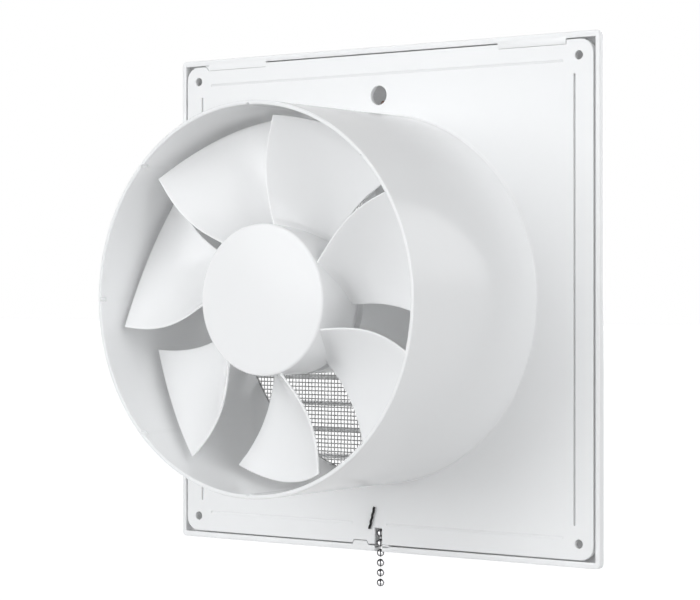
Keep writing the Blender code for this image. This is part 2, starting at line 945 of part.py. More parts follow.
def make_bracket(name, seat_y, outward):
    """A bearing bracket bolted to one end of the stator; outward is -1 at the front, 1 at the rear."""

    def depth(distance):
        return seat_y + outward * distance

    def turned_from(profile):
        return profile if outward > 0 else [(radius, y) for radius, y in reversed(profile)]

    plate_in = bracket_length - bracket_plate
    hub_end = bracket_length + bush_length
    bracket = turned(
        name,
        turned_from(
            [
                (bracket_bore_radius, depth(hub_end)),
                (bracket_hub_radius, depth(hub_end)),
                (bracket_hub_radius, depth(bracket_length)),
                (stator_radius, depth(bracket_length)),
                (stator_radius, depth(plate_in)),
                (bracket_bore_radius, depth(plate_in)),
            ]
        ),
        32,
        bright_steel,
    )
    legs = []
    holes = []
    for number, (x, z) in enumerate(motor_screw_places()):
        ends = sorted((depth(0.0), depth(plate_in + bracket_plate / 2)))
        legs.append(rod(f"{name}_leg_{number + 1}", mount_boss_radius, *ends, 12, x=x, z=z))
        ends = sorted((depth(-1.0), depth(hub_end + 1.0)))
        holes.append(rod(f"{name}_hole_{number + 1}", screw_hole_radius, *ends, 10, x=x, z=z))
    combine(bracket, legs, "UNION")
    if outward < 0:
        slot_half = lead_slot_width / 2
        holes.append(
            box(
                f"{name}_lead_slot",
                (-slot_half, slot_half),
                (depth(plate_in - 1.0), depth(bracket_length + 1.0)),
                (lead_start_z - lead_radius - clearance, stator_radius + 1.0),
            )
        )
    return combine(bracket, holes, "DIFFERENCE")


def make_bearings():
    """The two brackets, their bushes, the sleeves that place the rotor and the long screws."""
    for name, seat_y, outward in (
        ("front_bearing_bracket", front_bracket_y, -1),
        ("rear_bearing_bracket", rear_bracket_y, 1),
    ):
        make_bracket(name, seat_y, outward)
        start = seat_y + outward * (bracket_length - bracket_plate)
        ends = sorted((start, start + outward * (bush_length + bracket_plate)))
        end_name = name.split("_")[0]
        ring(f"{end_name}_bush", bush_bore_radius, bush_radius, *ends, 28, bronze)
        rotor_end = (stator_front_y, stator_rear_y)[outward > 0] + outward * rotor_overhang
        ends = sorted((rotor_end + outward * touch_gap, start - outward * touch_gap))
        sleeve_bore = shaft_radius + touch_gap
        ring(f"{end_name}_sleeve", sleeve_bore, sleeve_bore + sleeve_wall, *ends, 20, dark_plastic)
    head_y = rear_bracket_y + bracket_length + touch_gap
    tip_y = front_bracket_y - bracket_length - touch_gap - motor_screw_reach
    for number, (x, z) in enumerate(motor_screw_places()):
        turned(
            f"motor_screw_{number + 1}",
            [
                (0, head_y + motor_screw_head_height),
                (motor_screw_head_radius * 0.7, head_y + motor_screw_head_height),
                (motor_screw_head_radius, head_y + motor_screw_head_height * 0.5),
                (motor_screw_head_radius, head_y),
                (motor_screw_radius, head_y),
                (motor_screw_radius, tip_y + motor_screw_radius),
                (0, tip_y),
            ],
            12,
            bright_steel,
            x,
            z,
        )


def chain_beads():
    """Bead centres from the free end up to the one that the coupling holds."""
    beads = [
        (chain_x, chain_y, chain_end_z + chain_pitch * number)
        for number in range(chain_straight_beads)
    ]
    lean = coupling_y - chain_y
    rise = math.sqrt(chain_pitch**2 - lean**2)
    beads.append((chain_x, coupling_y, top_bead_z + rise))
    beads.append((chain_x, coupling_y, top_bead_z + rise + chain_pitch))
    return beads


def bead(name, centre):
    bm = bmesh.new()
    bmesh.ops.create_uvsphere(bm, u_segments=10, v_segments=6, radius=chain_bead_radius * MM)
    bmesh.ops.translate(bm, verts=bm.verts, vec=[value * MM for value in centre])
    return mesh_object(name, bm, None)


def make_pull_chain():
    beads = chain_beads()
    chain = bead("pull_chain", beads[0])
    chain.data.materials.append(material("pull_chain", *chrome))
    adds = [bead(f"bead_{number + 2}", centre) for number, centre in enumerate(beads[1:])]
    for number, (low, high) in enumerate(zip(beads, beads[1:])):
        link = tube(f"link_{number + 1}", [low, high], chain_link_radius, 1)
        adds.append(curve_to_mesh(link))
    combine(chain, adds, "UNION")

    held = beads[-1][2]
    inner = chain_bead_radius + clearance
    outer = inner + coupling_wall
    lower = held - coupling_height / 2
    upper = held + coupling_height / 2
    lip = chain_link_radius + 2 * clearance
    cup = turned(
        "chain_coupling",
        [
            (0, upper),
            (outer, upper),
            (outer, lower),
            (lip, lower),
            (lip, lower + coupling_wall),
            (inner, lower + coupling_wall),
            (inner, upper - coupling_wall),
            (0, upper - coupling_wall),
        ],
        20,
        chrome,
    )
    cup.rotation_euler = (0.0, 0.0, 0.0)
    cup.location = (chain_x * MM, coupling_y * MM, 0.0)
    tongue_half = coupling_tongue_thickness / 2
    slot_radius = lever_pin_radius + clearance
    tongue = box(
        "coupling_tongue",
        (chain_x - coupling_tongue_width / 2, chain_x + coupling_tongue_width / 2),
        (coupling_y - tongue_half, coupling_y + tongue_half),
        (upper - coupling_wall / 2, lever_pin_z + slot_radius + 1.0),
    )
    combine(cup, [tongue], "UNION")
    slot = rounded_rectangle(slot_radius + clearance, slot_radius, slot_radius * 0.99)
    slot = [(x + chain_x, z + lever_pin_z) for x, z in slot]
    combine(
        cup,
        [prism("coupling_slot", slot, coupling_y - 2.0, coupling_y + 2.0)],
        "DIFFERENCE",
    )


def make_switch_lever():
    """The lever turns on its pivot; its own frame has the pivot at the origin and the arm along +X."""
    arm_rear_y = coupling_y - coupling_tongue_thickness / 2 - touch_gap
    arm_front_y = arm_rear_y - lever_arm_thickness
    hub_middle_y = (arm_rear_y + arm_front_y) / 2
    half_hub = lever_hub_length / 2
    lever = rod(
        "switch_lever",
        lever_hub_radius,
        hub_middle_y - half_hub,
        hub_middle_y + half_hub,
        28,
        cream_plastic,
        pivot_x,
        pivot_z,
    )
    half = lever_arm_height / 2
    arm = box(
        "lever_arm",
        (-lever_tail, lever_length + lever_pin_radius + 0.7),
        (arm_front_y, arm_rear_y),
        (-half, half),
    )
    pin = rod(
        "lever_pin",
        lever_pin_radius,
        arm_front_y + 0.4,
        coupling_y + coupling_tongue_thickness / 2 + touch_gap,
        16,
        x=lever_length,
    )
    pin.parent = arm
    arm.location = (pivot_x * MM, 0.0, pivot_z * MM)
    arm.rotation_euler = (0.0, -lever_swing / 2, 0.0)
    combine(lever, [arm, pin], "UNION")
    bore = rod(
        "lever_bore",
        pivot_radius + clearance,
        hub_middle_y - half_hub - 1.0,
        hub_middle_y + half_hub + 1.0,
        20,
        x=pivot_x,
        z=pivot_z,
    )
    return combine(lever, [bore], "DIFFERENCE")


def make_switch():
    """The switch box stands on the front of the plate beside the chain."""
    near_x = chain_x - coupling_tongue_width - lever_arm_height * 3
    far_x = near_x - switch_width
    low_z = pivot_z - switch_height / 2
    high_z = pivot_z + switch_height / 2
    rear_y = plate_front_y - touch_gap
    floor_y = rear_y - switch_wall
    rim_y = switch_lid_y + touch_gap
    body = box("switch_body", (far_x, near_x), (rim_y, rear_y), (low_z, high_z), cream_plastic)
    wall = switch_wall
    cavity = box(
        "switch_cavity",
        (far_x + wall, near_x - wall),
        (rim_y - 1.0, floor_y),
        (low_z + wall, high_z - wall),
    )
    arm_distance = abs(near_x - pivot_x)
    slot_half = lever_arm_height / 2 + arm_distance * math.tan(lever_swing / 2) + 2 * clearance
    slot = box(
        "lever_slot",
        (near_x - 2 * wall, near_x + 1.0),
        (rim_y - 1.0, coupling_y + coupling_tongue_thickness),
        (pivot_z - slot_half, pivot_z + slot_half),
    )
    pin_hole = rod(
        "pivot_hole",
        pivot_radius + touch_gap,
        floor_y - 1.0,
        rear_y - wall / 2,
        16,
        x=pivot_x,
        z=pivot_z,
    )
    lead_holes = []
    for number, x in enumerate(switch_lead_start_x):
        lead_holes.append(
            box(
                f"lead_hole_{number + 1}",
                (x - lead_radius - clearance, x + lead_radius + clearance),
                (lead_y - lead_radius - clearance, rear_y + 1.0),
                (high_z - 2 * wall, high_z + 1.0),
            )
        )
    combine(body, [cavity, slot, pin_hole] + lead_holes, "DIFFERENCE")
    box(
        "switch_lid",
        (far_x, near_x),
        (switch_lid_y - switch_lid_thickness, switch_lid_y),
        (low_z, high_z),
        cream_plastic,
    )
    pin_front_y = switch_lid_y + touch_gap
    rod(
        "switch_pivot_pin",
        pivot_radius,
        pin_front_y,
        rear_y - wall / 2 - touch_gap,
        20,
        bright_steel,
        pivot_x,
        pivot_z,
    )
    make_switch_spring(pin_front_y)
    leaf_z = high_z - wall - leaf_drop
    leaf_y = coupling_y - coupling_tongue_thickness / 2 - touch_gap - lever_arm_thickness / 2
    leaf_rear_y = floor_y - touch_gap
    box(
        "contact_leaf",
        (far_x + wall + touch_gap, pivot_x - leaf_end_gap),
        (leaf_y - leaf_overhang, leaf_rear_y),
        (leaf_z, leaf_z + leaf_thickness),
        bronze,
    )
    rod(
        "contact_stud",
        contact_radius,
        leaf_y - 1.5,
        floor_y - touch_gap,
        16,
        brass,
        far_x + wall + touch_gap + 2 * contact_radius,
        leaf_z - touch_gap - contact_radius,
    )


def make_switch_spring(pin_front_y):
    """A wound spring round the pivot pin, between the lever's hub and the lid."""
    arm_rear_y = coupling_y - coupling_tongue_thickness / 2 - touch_gap
    hub_front_y = arm_rear_y - lever_arm_thickness / 2 - lever_hub_length / 2
    radius = pivot_radius + clearance + spring_wire_radius + 0.4
    steps = 12
    start_y = hub_front_y - touch_gap - spring_wire_radius
    path = []
    for step in range(spring_turns * steps + 1):
        angle = 2 * math.pi * step / steps
        path.append(
            (
                pivot_x + radius * math.cos(angle),
                start_y - spring_pitch * step / steps,
                pivot_z + radius * math.sin(angle),
            )
        )
    gap = spring_pitch - 2 * spring_wire_radius
    print(f"return spring: least gap between turns {gap:.2f} mm")
    tube("return_spring", path, spring_wire_radius, 1, bright_steel)


def make_terminal_block():
    half = terminal_width / 2
    rear_y = plate_front_y - touch_gap
    front_y = rear_y - terminal_depth
    low_z = terminal_z - terminal_height / 2
    high_z = terminal_z + terminal_height / 2
    block = box(
        "terminal_block",
        (terminal_x - half, terminal_x + half),
        (front_y, rear_y),
        (low_z, high_z),
        cream_plastic,
    )
    way = terminal_width / terminal_ways
    cuts = []
    for number in range(terminal_ways):
        x = terminal_x - half + way * (number + 0.5)
        cuts.append(
            rod(
                f"terminal_well_{number + 1}",
                terminal_screw_radius + clearance,
                front_y - 1.0,
                front_y + terminal_depth * 0.6,
                16,
                x=x,
                z=terminal_z,
            )
        )
        turned(
            f"terminal_screw_{number + 1}",
            [
                (0, front_y + terminal_depth * 0.6 - touch_gap),
                (terminal_screw_radius, front_y + terminal_depth * 0.6 - touch_gap),
                (terminal_screw_radius, front_y + 1.0),
                (0, front_y + 1.0),
            ],
            14,
            brass,
            x,
            terminal_z,
        )
    combine(block, cuts, "DIFFERENCE")


def make_cable_clamp():
    seat_y = plate_front_y - clamp_post_height - touch_gap
    front_y = seat_y - clamp_thickness
    half = clamp_length / 2
    clamp = box(
        "cable_clamp",
        (clamp_x - clamp_width / 2, clamp_x + clamp_width / 2),
        (front_y, seat_y),
        (clamp_z - half, clamp_z + half),
        white_plastic,
    )
    holes = []
    for number, (x, z) in enumerate(clamp_screw_places()):
        holes.append(
            rod(
                f"clamp_hole_{number + 1}",
                clamp_screw_radius + clearance,
                front_y - 1.0,
                seat_y + 1.0,
                14,
                x=x,
                z=z,
            )
        )
        head_y = front_y - touch_gap
        tip_y = plate_front_y - 2 * touch_gap
        turned(
            f"clamp_screw_{number + 1}",
            [
                (0, tip_y),
                (clamp_screw_radius, tip_y),
                (clamp_screw_radius, head_y),
                (clamp_screw_head_radius, head_y),
                (clamp_screw_head_radius, head_y - clamp_screw_head_height * 0.5),
                (clamp_screw_head_radius * 0.7, head_y - clamp_screw_head_height),
                (0, head_y - clamp_screw_head_height),
            ],
            12,
            bright_steel,
            x,
            z,
        )
    combine(clamp, holes, "DIFFERENCE")


def arc_points(radius, start, end, y, spacing):
    """Places along a circle round the fan's axis, at one depth."""
    count = max(2, int(abs(math.radians(end - start)) * radius / spacing))
    return [
        (x, y, z)
        for x, z in (
            on_circle(radius, start + (end - start) * step / count) for step in range(count + 1)
        )
    ]


def degrees_at(radius, x, upper):
    angle = math.degrees(math.acos(x / radius))
    return angle if upper else -angle


def make_motor_leads():
    """Two leads from the top coil, out through the cup's floor and up the front of the top strut."""
    coil_front_y = stator_front_y - touch_gap - coil_thickness
    side = (motor_lead_radii[1] - motor_lead_radii[0]) / 2
    block_low_z = terminal_z - terminal_height / 2
    front_y = cup_front_y - touch_gap - lead_radius
    finishes = (lead_blue, lead_brown)
    for number, (radius, end_x) in enumerate(zip(motor_lead_radii, motor_lead_end_x)):
        x = side if number else -side
        path = [(x, coil_front_y - touch_gap, lead_start_z)]
        path.append((x, front_y + lead_bend, lead_start_z))
        for step in range(1, 4):
            angle = math.pi / 2 * step / 4
            path.append(
                (
                    x,
                    front_y + lead_bend * (1 - math.sin(angle)),
                    lead_start_z + lead_bend * (1 - math.cos(angle)),
                )
            )
        path.append((x, front_y, lead_start_z + lead_bend))
        path.append((x, front_y, radius - lead_bend))
        start = degrees_at(radius, x - lead_turn, True)
        end = degrees_at(radius, end_x + lead_turn, True)
        path += arc_points(radius, start, end, front_y, 6.0)
        path.append((end_x, front_y, block_low_z - lead_turn))
        path.append((end_x, front_y, block_low_z - touch_gap))
        tube(f"motor_lead_{number + 1}", path, lead_radius, 1, finishes[number])


def make_switch_leads():
    """Two leads that run round the duct from the switch up to the terminal block."""
    block_low_z = terminal_z - terminal_height / 2
    body_high_z = pivot_z + switch_height / 2
    finishes = (lead_blue, lead_brown)
    ends = zip(switch_lead_radii, switch_lead_start_x, switch_lead_end_x)
    for number, (radius, start_x, end_x) in enumerate(ends):
        start = -degrees_at(radius, start_x, True) + 360
        end = degrees_at(radius, end_x, True)
        arc = arc_points(radius, start, end, lead_y, 13.0)
        path = [(start_x, lead_y, body_high_z - switch_wall * 0.5)]
        path += arc
        path.append((end_x, lead_y, block_low_z - touch_gap))
        tube(f"switch_lead_{number + 1}", path, lead_radius, 1, finishes[number])


def make_thread():
    """A short wavy black thread on the rear face, just above the chain's notch."""
    steps = 10
    path = []
    for step in range(steps + 1):
        share = step / steps
        x = thread_top[0] + (thread_bottom[0] - thread_top[0]) * share
        z = thread_top[1] + (thread_bottom[1] - thread_top[1]) * share
        x += thread_wave * math.sin(2 * math.pi * thread_waves * share)
        path.append((x, touch_gap + thread_radius, z))
    tube("black_thread", path, thread_radius, 1, black_thread)


def smooth_round_pieces():
    for obj in parts.objects:
        if obj.type == "MESH":
            obj.data.shade_smooth()
            obj.data.set_sharp_from_angle(angle=math.radians(35))


def main():
    global parts, helpers
    clear_scene()
    root = bpy.context.scene.collection
    parts = new_collection("exhaust_fan", root)
    helpers = new_collection("cutters", root)
    helpers.hide_render = True
    make_housing()
    make_front_cover()
    make_insect_screen()
    make_impeller()
    make_motor()
    make_bearings()
    make_pull_chain()
    make_switch_lever()
    make_switch()
    make_terminal_block()
    make_cable_clamp()
    make_motor_leads()
    make_switch_leads()
    make_thread()
    smooth_round_pieces()


main()
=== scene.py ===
"""Looks of the wall exhaust fan. Every size below is in millimetres, in the part's own frame.

The fan's axis is +Y, the wall plane is y = 0, the duct runs towards +Y and +Z is up.
"""

import math

import bmesh
import bpy
from mathutils import Matrix, Vector


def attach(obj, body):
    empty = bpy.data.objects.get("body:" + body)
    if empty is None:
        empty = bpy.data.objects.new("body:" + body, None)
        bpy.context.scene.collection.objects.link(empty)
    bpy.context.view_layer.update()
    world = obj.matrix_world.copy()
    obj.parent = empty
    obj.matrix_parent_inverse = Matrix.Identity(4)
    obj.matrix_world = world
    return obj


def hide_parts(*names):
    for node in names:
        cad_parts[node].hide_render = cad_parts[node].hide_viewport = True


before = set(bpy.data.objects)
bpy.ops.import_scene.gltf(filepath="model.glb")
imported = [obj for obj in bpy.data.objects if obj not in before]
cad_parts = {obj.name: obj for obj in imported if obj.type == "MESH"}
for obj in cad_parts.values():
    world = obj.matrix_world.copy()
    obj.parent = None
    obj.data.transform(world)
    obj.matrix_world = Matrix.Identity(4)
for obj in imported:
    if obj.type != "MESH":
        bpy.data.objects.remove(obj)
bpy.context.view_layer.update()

MM = 0.001

# Gap between pieces, and how far pieces of one moulding run into each other
clearance = 0.3
overlap = 0.1

# Edge radii that the mouldings share, and the angle in degrees past which an edge stays sharp
fine_edge = 0.3
soft_edge = 0.4
inner_edge = 0.5
moulded_sharp_angle = 40
fine_sharp_angle = 50

# Duct
duct_radius = 75.0
duct_bore_radius = 73.4
duct_length = 85.8
duct_front_y = -4.4
duct_edge_radius = 0.45
duct_foot_fillet = 0.8
duct_foot_depth = 0.3
duct_foot_tuck = 0.4
duct_steps = 256
rim_notch_count = 8
rim_notch_radius = 0.8
rim_notch_depth = 3.2
rim_notch_sides = 16

# Base plate
plate_half = 100.0
plate_thickness = 2.0
plate_corner_radius = 5.5
plate_edge_radius = 0.2
plate_front_edge_radius = 0.05
plate_bore_tuck = 0.8
wall_hole_offset = 93.75
wall_hole_radius = 1.75
cable_hole = (-0.6, 83.1)
cable_hole_radius = 3.9
groove_offset = 91.8
groove_half_length = 86.8
groove_width = 0.9
groove_depth = 1.7
groove_slope_depth = 0.5
groove_slope_top = 0.08
groove_break = (-4.4, 12.4)
groove_end_share = 0.95
groove_end_steps = 4
collar_bore_radius = 75.3
collar_radius = 77.0
collar_front_y = -6.4
shoulder_radius = 2.7
shoulder_gap = 0.3
shoulder_steps = 6
shoulder_angles = (90, 160)
tongue_angles = (160, 110)

# Chain's notch in the plate and in the cover
chain_x = -0.43
notch_width = 3.7
notch_x = (chain_x - notch_width / 2, chain_x + notch_width / 2)
notch_top_z = -93.3
cover_notch_depth = 7.0
cover_notch_top_z = -96.8
cover_notch_rear_y = 2.0
cover_notch_margin = 1.0

# Front cover
cover_half = 102.9
cover_wall = 2.0
cover_corner_radius = 1.8
cover_corner_shrink = 0.5
cover_least_corner = 0.6
cover_corner_steps = 8
cover_straight_depth = 3.4
cover_depth = 18.0
cover_front_half = 91.0
cover_edge_radius = 0.4
cover_shoulder_edge = 1.2
cover_front_edge = 2.0
cover_inner_step = 0.3
cover_slope_share = 0.45
cover_sharp_angle = 38
window_half = 76.1
window_edge = 0.6

# Walls, hooks and latch inside the cover's rim
rim_setback = 0.05
rim_tuck = 0.8
cover_top_inner_z = 100.5
cover_top_edge = 0.25
cover_bottom_inner_z = -100.6
cover_bottom_edge = 0.15
cover_pad_length = 3.2
cover_pad_z = -100.12
cover_pad_edge = 0.05
hook_x = (57.3, 88.0)
hook_lower_z = 98.3
hook_thickness = 1.7
hook_setback = 0.02
hook_tuck = 0.9
hook_gap = 0.12
hook_overlap = 0.15
right_hook_edge = 0.1
left_hook_edge = 0.05
latch_centre_x = 8.5
latch_top_width = 5.8
latch_base_width = 7.2
latch_top_z = -98.9
latch_edge = 0.15
latch_recess_radius = 0.2
latch_slope = (latch_base_width - latch_top_width) / 2 / (plate_half + latch_top_z)

# Slats
slat_pitch = 11.0
slat_pairs = 6
slat_thickness = 1.8
slat_depth = 7.0
slat_edge = 0.45

# Insect screen
screen_y = -5.0
screen_radius = 75.0
screen_bore_radius = 73.35
screen_ring_inset = 0.2
screen_ring_half = 0.3
screen_ring_steps = 128
screen_pitch = 1.67
screen_wire_radius = 0.24
screen_wire_sides = 4
screen_wire_tuck = 0.6
screen_weave = 0.12

# Motor cup
cup_radius = 29.0
cup_wall = 1.6
cup_rear_y = 51.0
cup_front_y = -2.2
cup_front_edge = 1.0
cup_lip_radius = 26.6
cup_lip_rear_y = 57.0
cup_steps = 128
strut_count = 4
strut_width = 7.0
strut_depth = 8.5
strut_edge = 0.6
strut_tuck = 0.6

# Impeller
hub_radius = 29.0
hub_wall = 1.6
hub_face_y = 77.8
hub_front_y = 56.0
hub_face_thickness = 1.8
hub_edge_radius = 1.0
hub_inner_edge = 0.6
hub_corner_steps = 7
hub_steps = 192
boss_radius = 5.5
boss_bore_radius = 4.0
boss_front_y = 59.0
boss_taper = 1.0
blade_count = 7
blade_thickness = 0.85
blade_tip_radius = 70.1
blade_root_share = 0.7
blade_fillet = 1.8
blade_fillet_fade = 4
blade_root_dip = -8.0
blade_tip_dip = -15.3
blade_phase = 86.2
blade_rear_sweep = (-5.5, 2.4, 2.9, 0.0)
blade_front_sweep = (-38.5, -37.1, -39.5, -43.7)
blade_rear_y = (76.2, 75.5, 75.5, 76.4)
blade_front_y = (57.6, 57.7, 57.9, 58.2)
blade_edge_steps = 4
blade_span_steps = 44
blade_chord_steps = 30
blade_weld_distance = 0.002

# Pull chain
chain_y = -1.75
bead_radius = 1.56
bead_rings = (32, 20)
link_radius = 0.18
link_sides = 12
bead_pitch = 4.065
chain_end_z = -115.73
straight_beads = 6
coupling_y = -4.95

# Black thread
thread_radius = 0.5
thread_top = (0.9, -84.8)
thread_bottom = (3.4, -93.8)
thread_wave = 0.11
thread_waves = 3.5
thread_steps = 48
thread_sides = 10

# Finishes
housing_colour = (0.953, 0.957, 0.96)
housing_gloss = 1.37
impeller_colour = (0.977, 0.98, 0.983)
tone_scale = 22.0
grain_height = 0.02
roughness_change = 0.1
cover_translucence = 0.9
cover_light_reach = 4.0
cover_light_depth = 2.5 * cover_straight_depth
# Painted dark reflections on the beads: their colour, the band where a painted dark rim falls
# round each bead's outline, and the width and bearing of a painted dark line down their middle
bead_painted_reflection_colour = (0.05, 0.05, 0.053)
bead_painted_rim_range = (0.28, 0.64)
bead_painted_line_range = (0.22, 0.08)
bead_painted_line_bearing = 35.3
bead_limit = 1.04

# Camera, lamps, world and floor
camera_place = (-508.296, 736.940, 2.189)
camera_bearing = 35.307
camera_fall = 0.00096
camera_lens = 112.88
camera_sensor = 36.0
camera_shift_y = -0.00584
camera_clip = (50.0, 60000.0)
lamp_colour = (0.975, 0.988, 1.0)
lamp_spread = 35
lamp_distance = 2600.0
lamps = {
    "lamp_axis_low": (-5, -8, 0.6),
    "lamp_axis": (-5, 15, 0.43),
    "lamp_axis_high": (-5, 40, 0.27),
    "lamp_left": (-25, 15, 0.67),
    "lamp_far_left": (-65, -8, 0.5),
    "lamp_right_low": (55, -8, 0.3),
    "lamp_side": (75, 15, 0.77),
    "lamp_side_high": (75, 40, 0.18),
    "lamp_room_side": (155, 15, 0.55),
    "lamp_room": (185, 10, 1.7),
}
white = (1.0, 1.0, 1.0, 1.0)
world_level = 0.2
floor_half = 30000.0
floor_z = -500.0
floor_colour = (0.8, 0.8, 0.8, 1.0)
floor_roughness = 0.9
floor_glow = 0.52


# Objects and meshes


def new_object(name, data):
    """An object in the scene that holds a mesh, a curve, a camera or a lamp."""
    obj = bpy.data.objects.new(name, data)
    bpy.context.scene.collection.objects.link(obj)
    return obj


def mesh_from(bm, name):
    """The mesh of a bmesh, which is freed."""
    mesh = bpy.data.meshes.new(name)
    bm.to_mesh(mesh)
    bm.free()
    return mesh


def evaluated_mesh(obj):
    """A mesh of an object as its modifiers or its curve's settings leave it."""
    bpy.context.view_layer.update()
    graph = bpy.context.evaluated_depsgraph_get()
    return bpy.data.meshes.new_from_object(obj.evaluated_get(graph))


def cut(obj, cutter_mesh):
    """Cuts a mesh out of an object and keeps the result as the object's own mesh."""
    cutter = new_object(obj.name + "_cutter", cutter_mesh)
    modifier = obj.modifiers.new("Cut", "BOOLEAN")
    modifier.operation = "DIFFERENCE"
    modifier.solver = "EXACT"
    modifier.object = cutter
    mesh = evaluated_mesh(obj)
    obj.modifiers.remove(modifier)
    obj.data = mesh
    bpy.data.objects.remove(cutter, do_unlink=True)


def shaded_object(bm, name, sharp_angle=moulded_sharp_angle, cutter=None):
    """An object made of a bmesh, less a cutter, smooth but for edges past an angle in degrees."""
    obj = new_object(name, mesh_from(bm, name))
    if cutter is not None:
        cut(obj, mesh_from(cutter, name + "_cuts"))
    obj.data.shade_smooth()
    obj.data.set_sharp_from_angle(angle=math.radians(sharp_angle))
    return obj


def face_outwards(bm):
    """Turns every face of a bmesh outwards."""
    bmesh.ops.recalc_face_normals(bm, faces=bm.faces)


def in_fixed_order(bm):
    """Sorts the edges and faces of a bmesh, which its operators can leave in a chance order."""
    bm.verts.index_update()
    for elements in (bm.edges, bm.faces):
        ordered = sorted(elements, key=lambda found: sorted(vert.index for vert in found.verts))
        for index, element in enumerate(ordered):
            element.index = index
        elements.sort()


def join_loops(bm, loops, closed=False):
    """Adds faces between neighbouring loops of vertices, and from last to first if closed."""
    pairs = list(zip(loops, loops[1:]))
    if closed:
        pairs.append((loops[-1], loops[0]))
    for first, second in pairs:
        count = len(first)
        for step in range(count):
            after = (step + 1) % count
            corners = []
            for vert in (first[step], first[after], second[after], second[step]):
                if vert not in corners:
                    corners.append(vert)
            if len(corners) > 2:
                bm.faces.new(corners)


def turned(bm, profile, steps):
    """Adds a closed (radius, y) profile turned round the fan's axis; radius 0 lies on the axis."""
    loops = []
    for radius, y in profile:
        if radius == 0:
            loops.append([bm.verts.new((0.0, y * MM, 0.0))] * steps)
            continue
        loop = []
        for step in range(steps):
            angle = 2 * math.pi * step / steps
            place = (radius * math.cos(angle) * MM, y * MM, radius * math.sin(angle) * MM)
            loop.append(bm.verts.new(place))
        loops.append(loop)
    join_loops(bm, loops, closed=True)
    return bm


def rounded_corners(points, steps=5):
    """A closed outline of (x, z, radius) points, with an arc of its radius at each corner."""
    rounded = []
    count = len(points)
    for index, (x, z, radius) in enumerate(points):
        corner = Vector((x, z))
        if radius <= 0:
            rounded.append(tuple(corner))
            continue
        before = (Vector(points[index - 1][:2]) - corner).normalized()
        after = (Vector(points[(index + 1) % count][:2]) - corner).normalized()
        half = before.angle(after) / 2
        reach = radius / math.tan(half)
        centre = corner + (before + after).normalized() * (radius / math.sin(half))
        start = corner + before * reach - centre
        end = corner + after * reach - centre
        sweep = start.angle(end)
        for step in range(steps + 1):
            share = step / steps
            arm = start * math.sin((1 - share) * sweep) + end * math.sin(share * sweep)
            rounded.append(tuple(centre + arm / math.sin(sweep)))
    return rounded


def rounded_rectangle(x, z, radius, steps):
    """A rectangle between two limits each way, with an arc of the radius at each corner."""
    corners = [(x[0], z[0]), (x[1], z[0]), (x[1], z[1]), (x[0], z[1])]
    return rounded_corners([(*corner, radius) for corner in corners], steps)


def circle(centre, radius, steps=48):
    """Points of a circle in the plate's plane."""
    points = []
    for step in range(steps):
        angle = 2 * math.pi * step / steps
        points.append((centre[0] + radius * math.cos(angle), centre[1] + radius * math.sin(angle)))
    return points


def flat_mesh(name, outlines, y, edge):
    """A flat sheet from (x, z) outlines, the inner ones being holes, with softly rounded edges."""
    curve = bpy.data.curves.new(name, "CURVE")
    curve.dimensions = "2D"
    curve.fill_mode = "BOTH"
    curve.bevel_depth = edge * MM
    curve.bevel_resolution = 2
    curve.offset = -edge * MM
    curve.extrude = ((y[1] - y[0]) / 2 - edge) * MM
    for outline in outlines:
        spline = curve.splines.new("POLY")
        spline.points.add(len(outline) - 1)
        for point, (x, z) in zip(spline.points, outline):
            point.co = (x * MM, -z * MM, 0.0, 1.0)
        spline.use_cyclic_u = True
    holder = new_object(name, curve)
    mesh = evaluated_mesh(holder)
    bpy.data.objects.remove(holder, do_unlink=True)
    turn = Matrix.Rotation(-math.pi / 2, 4, "X")
    mesh.transform(Matrix.Translation((0.0, (y[0] + y[1]) / 2 * MM, 0.0)) @ turn)
    return mesh


def rounded_box(bm, x, y, z, edge):
    """Adds a block between the limits of each axis, with rounded edges."""
    made = bmesh.ops.create_cube(bm, size=1.0)["verts"]
    size = [(pair[1] - pair[0]) * MM for pair in (x, y, z)]
    centre = [(pair[0] + pair[1]) / 2 * MM for pair in (x, y, z)]
    bmesh.ops.scale(bm, vec=size, verts=made)
    bmesh.ops.translate(bm, vec=centre, verts=made)
    if edge > 0:
        edges = {link for vert in made for link in vert.link_edges}
        bmesh.ops.bevel(
            bm, geom=list(edges), offset=edge * MM, segments=3, profile=0.5, affect="EDGES"
        )
    return bm


def tube_along(bm, path, radius, sides):
    """Adds a round wire along a path of points, closed at both ends."""
    rings = []
    for index, point in enumerate(path):
        here = Vector(point)
        ahead = Vector(path[min(index + 1, len(path) - 1)])
        behind = Vector(path[max(index - 1, 0)])
        along = (ahead - behind).normalized()
        side = along.cross(Vector((0.0, 1.0, 0.0)))
        if side.length < 0.01:
            side = along.cross(Vector((1.0, 0.0, 0.0)))
        side.normalize()
        up = side.cross(along)
        ring = []
        for step in range(sides):
            angle = 2 * math.pi * step / sides
            offset = (side * math.cos(angle) + up * math.sin(angle)) * radius
            ring.append(bm.verts.new((here + offset) * MM))
        rings.append(ring)
    join_loops(bm, rings)
    bm.faces.new(rings[0][::-1])
    bm.faces.new(rings[-1])
    return bm


# Material nodes


def feed(owner, socket, value):
    """Gives a socket of a material or world a plain value, or links it to a node's output."""
    if isinstance(value, bpy.types.NodeSocket):
        owner.node_tree.links.new(value, socket)
    else:
        socket.default_value = value


def arithmetic(owner, operation, *values):
    """A Math node of a material or world, fed with numbers or with other nodes' outputs."""
    node = owner.node_tree.nodes.new("ShaderNodeMath")
    node.operation = operation
    for socket, value in zip(node.inputs, values):
        feed(owner, socket, value)
    return node.outputs[0]


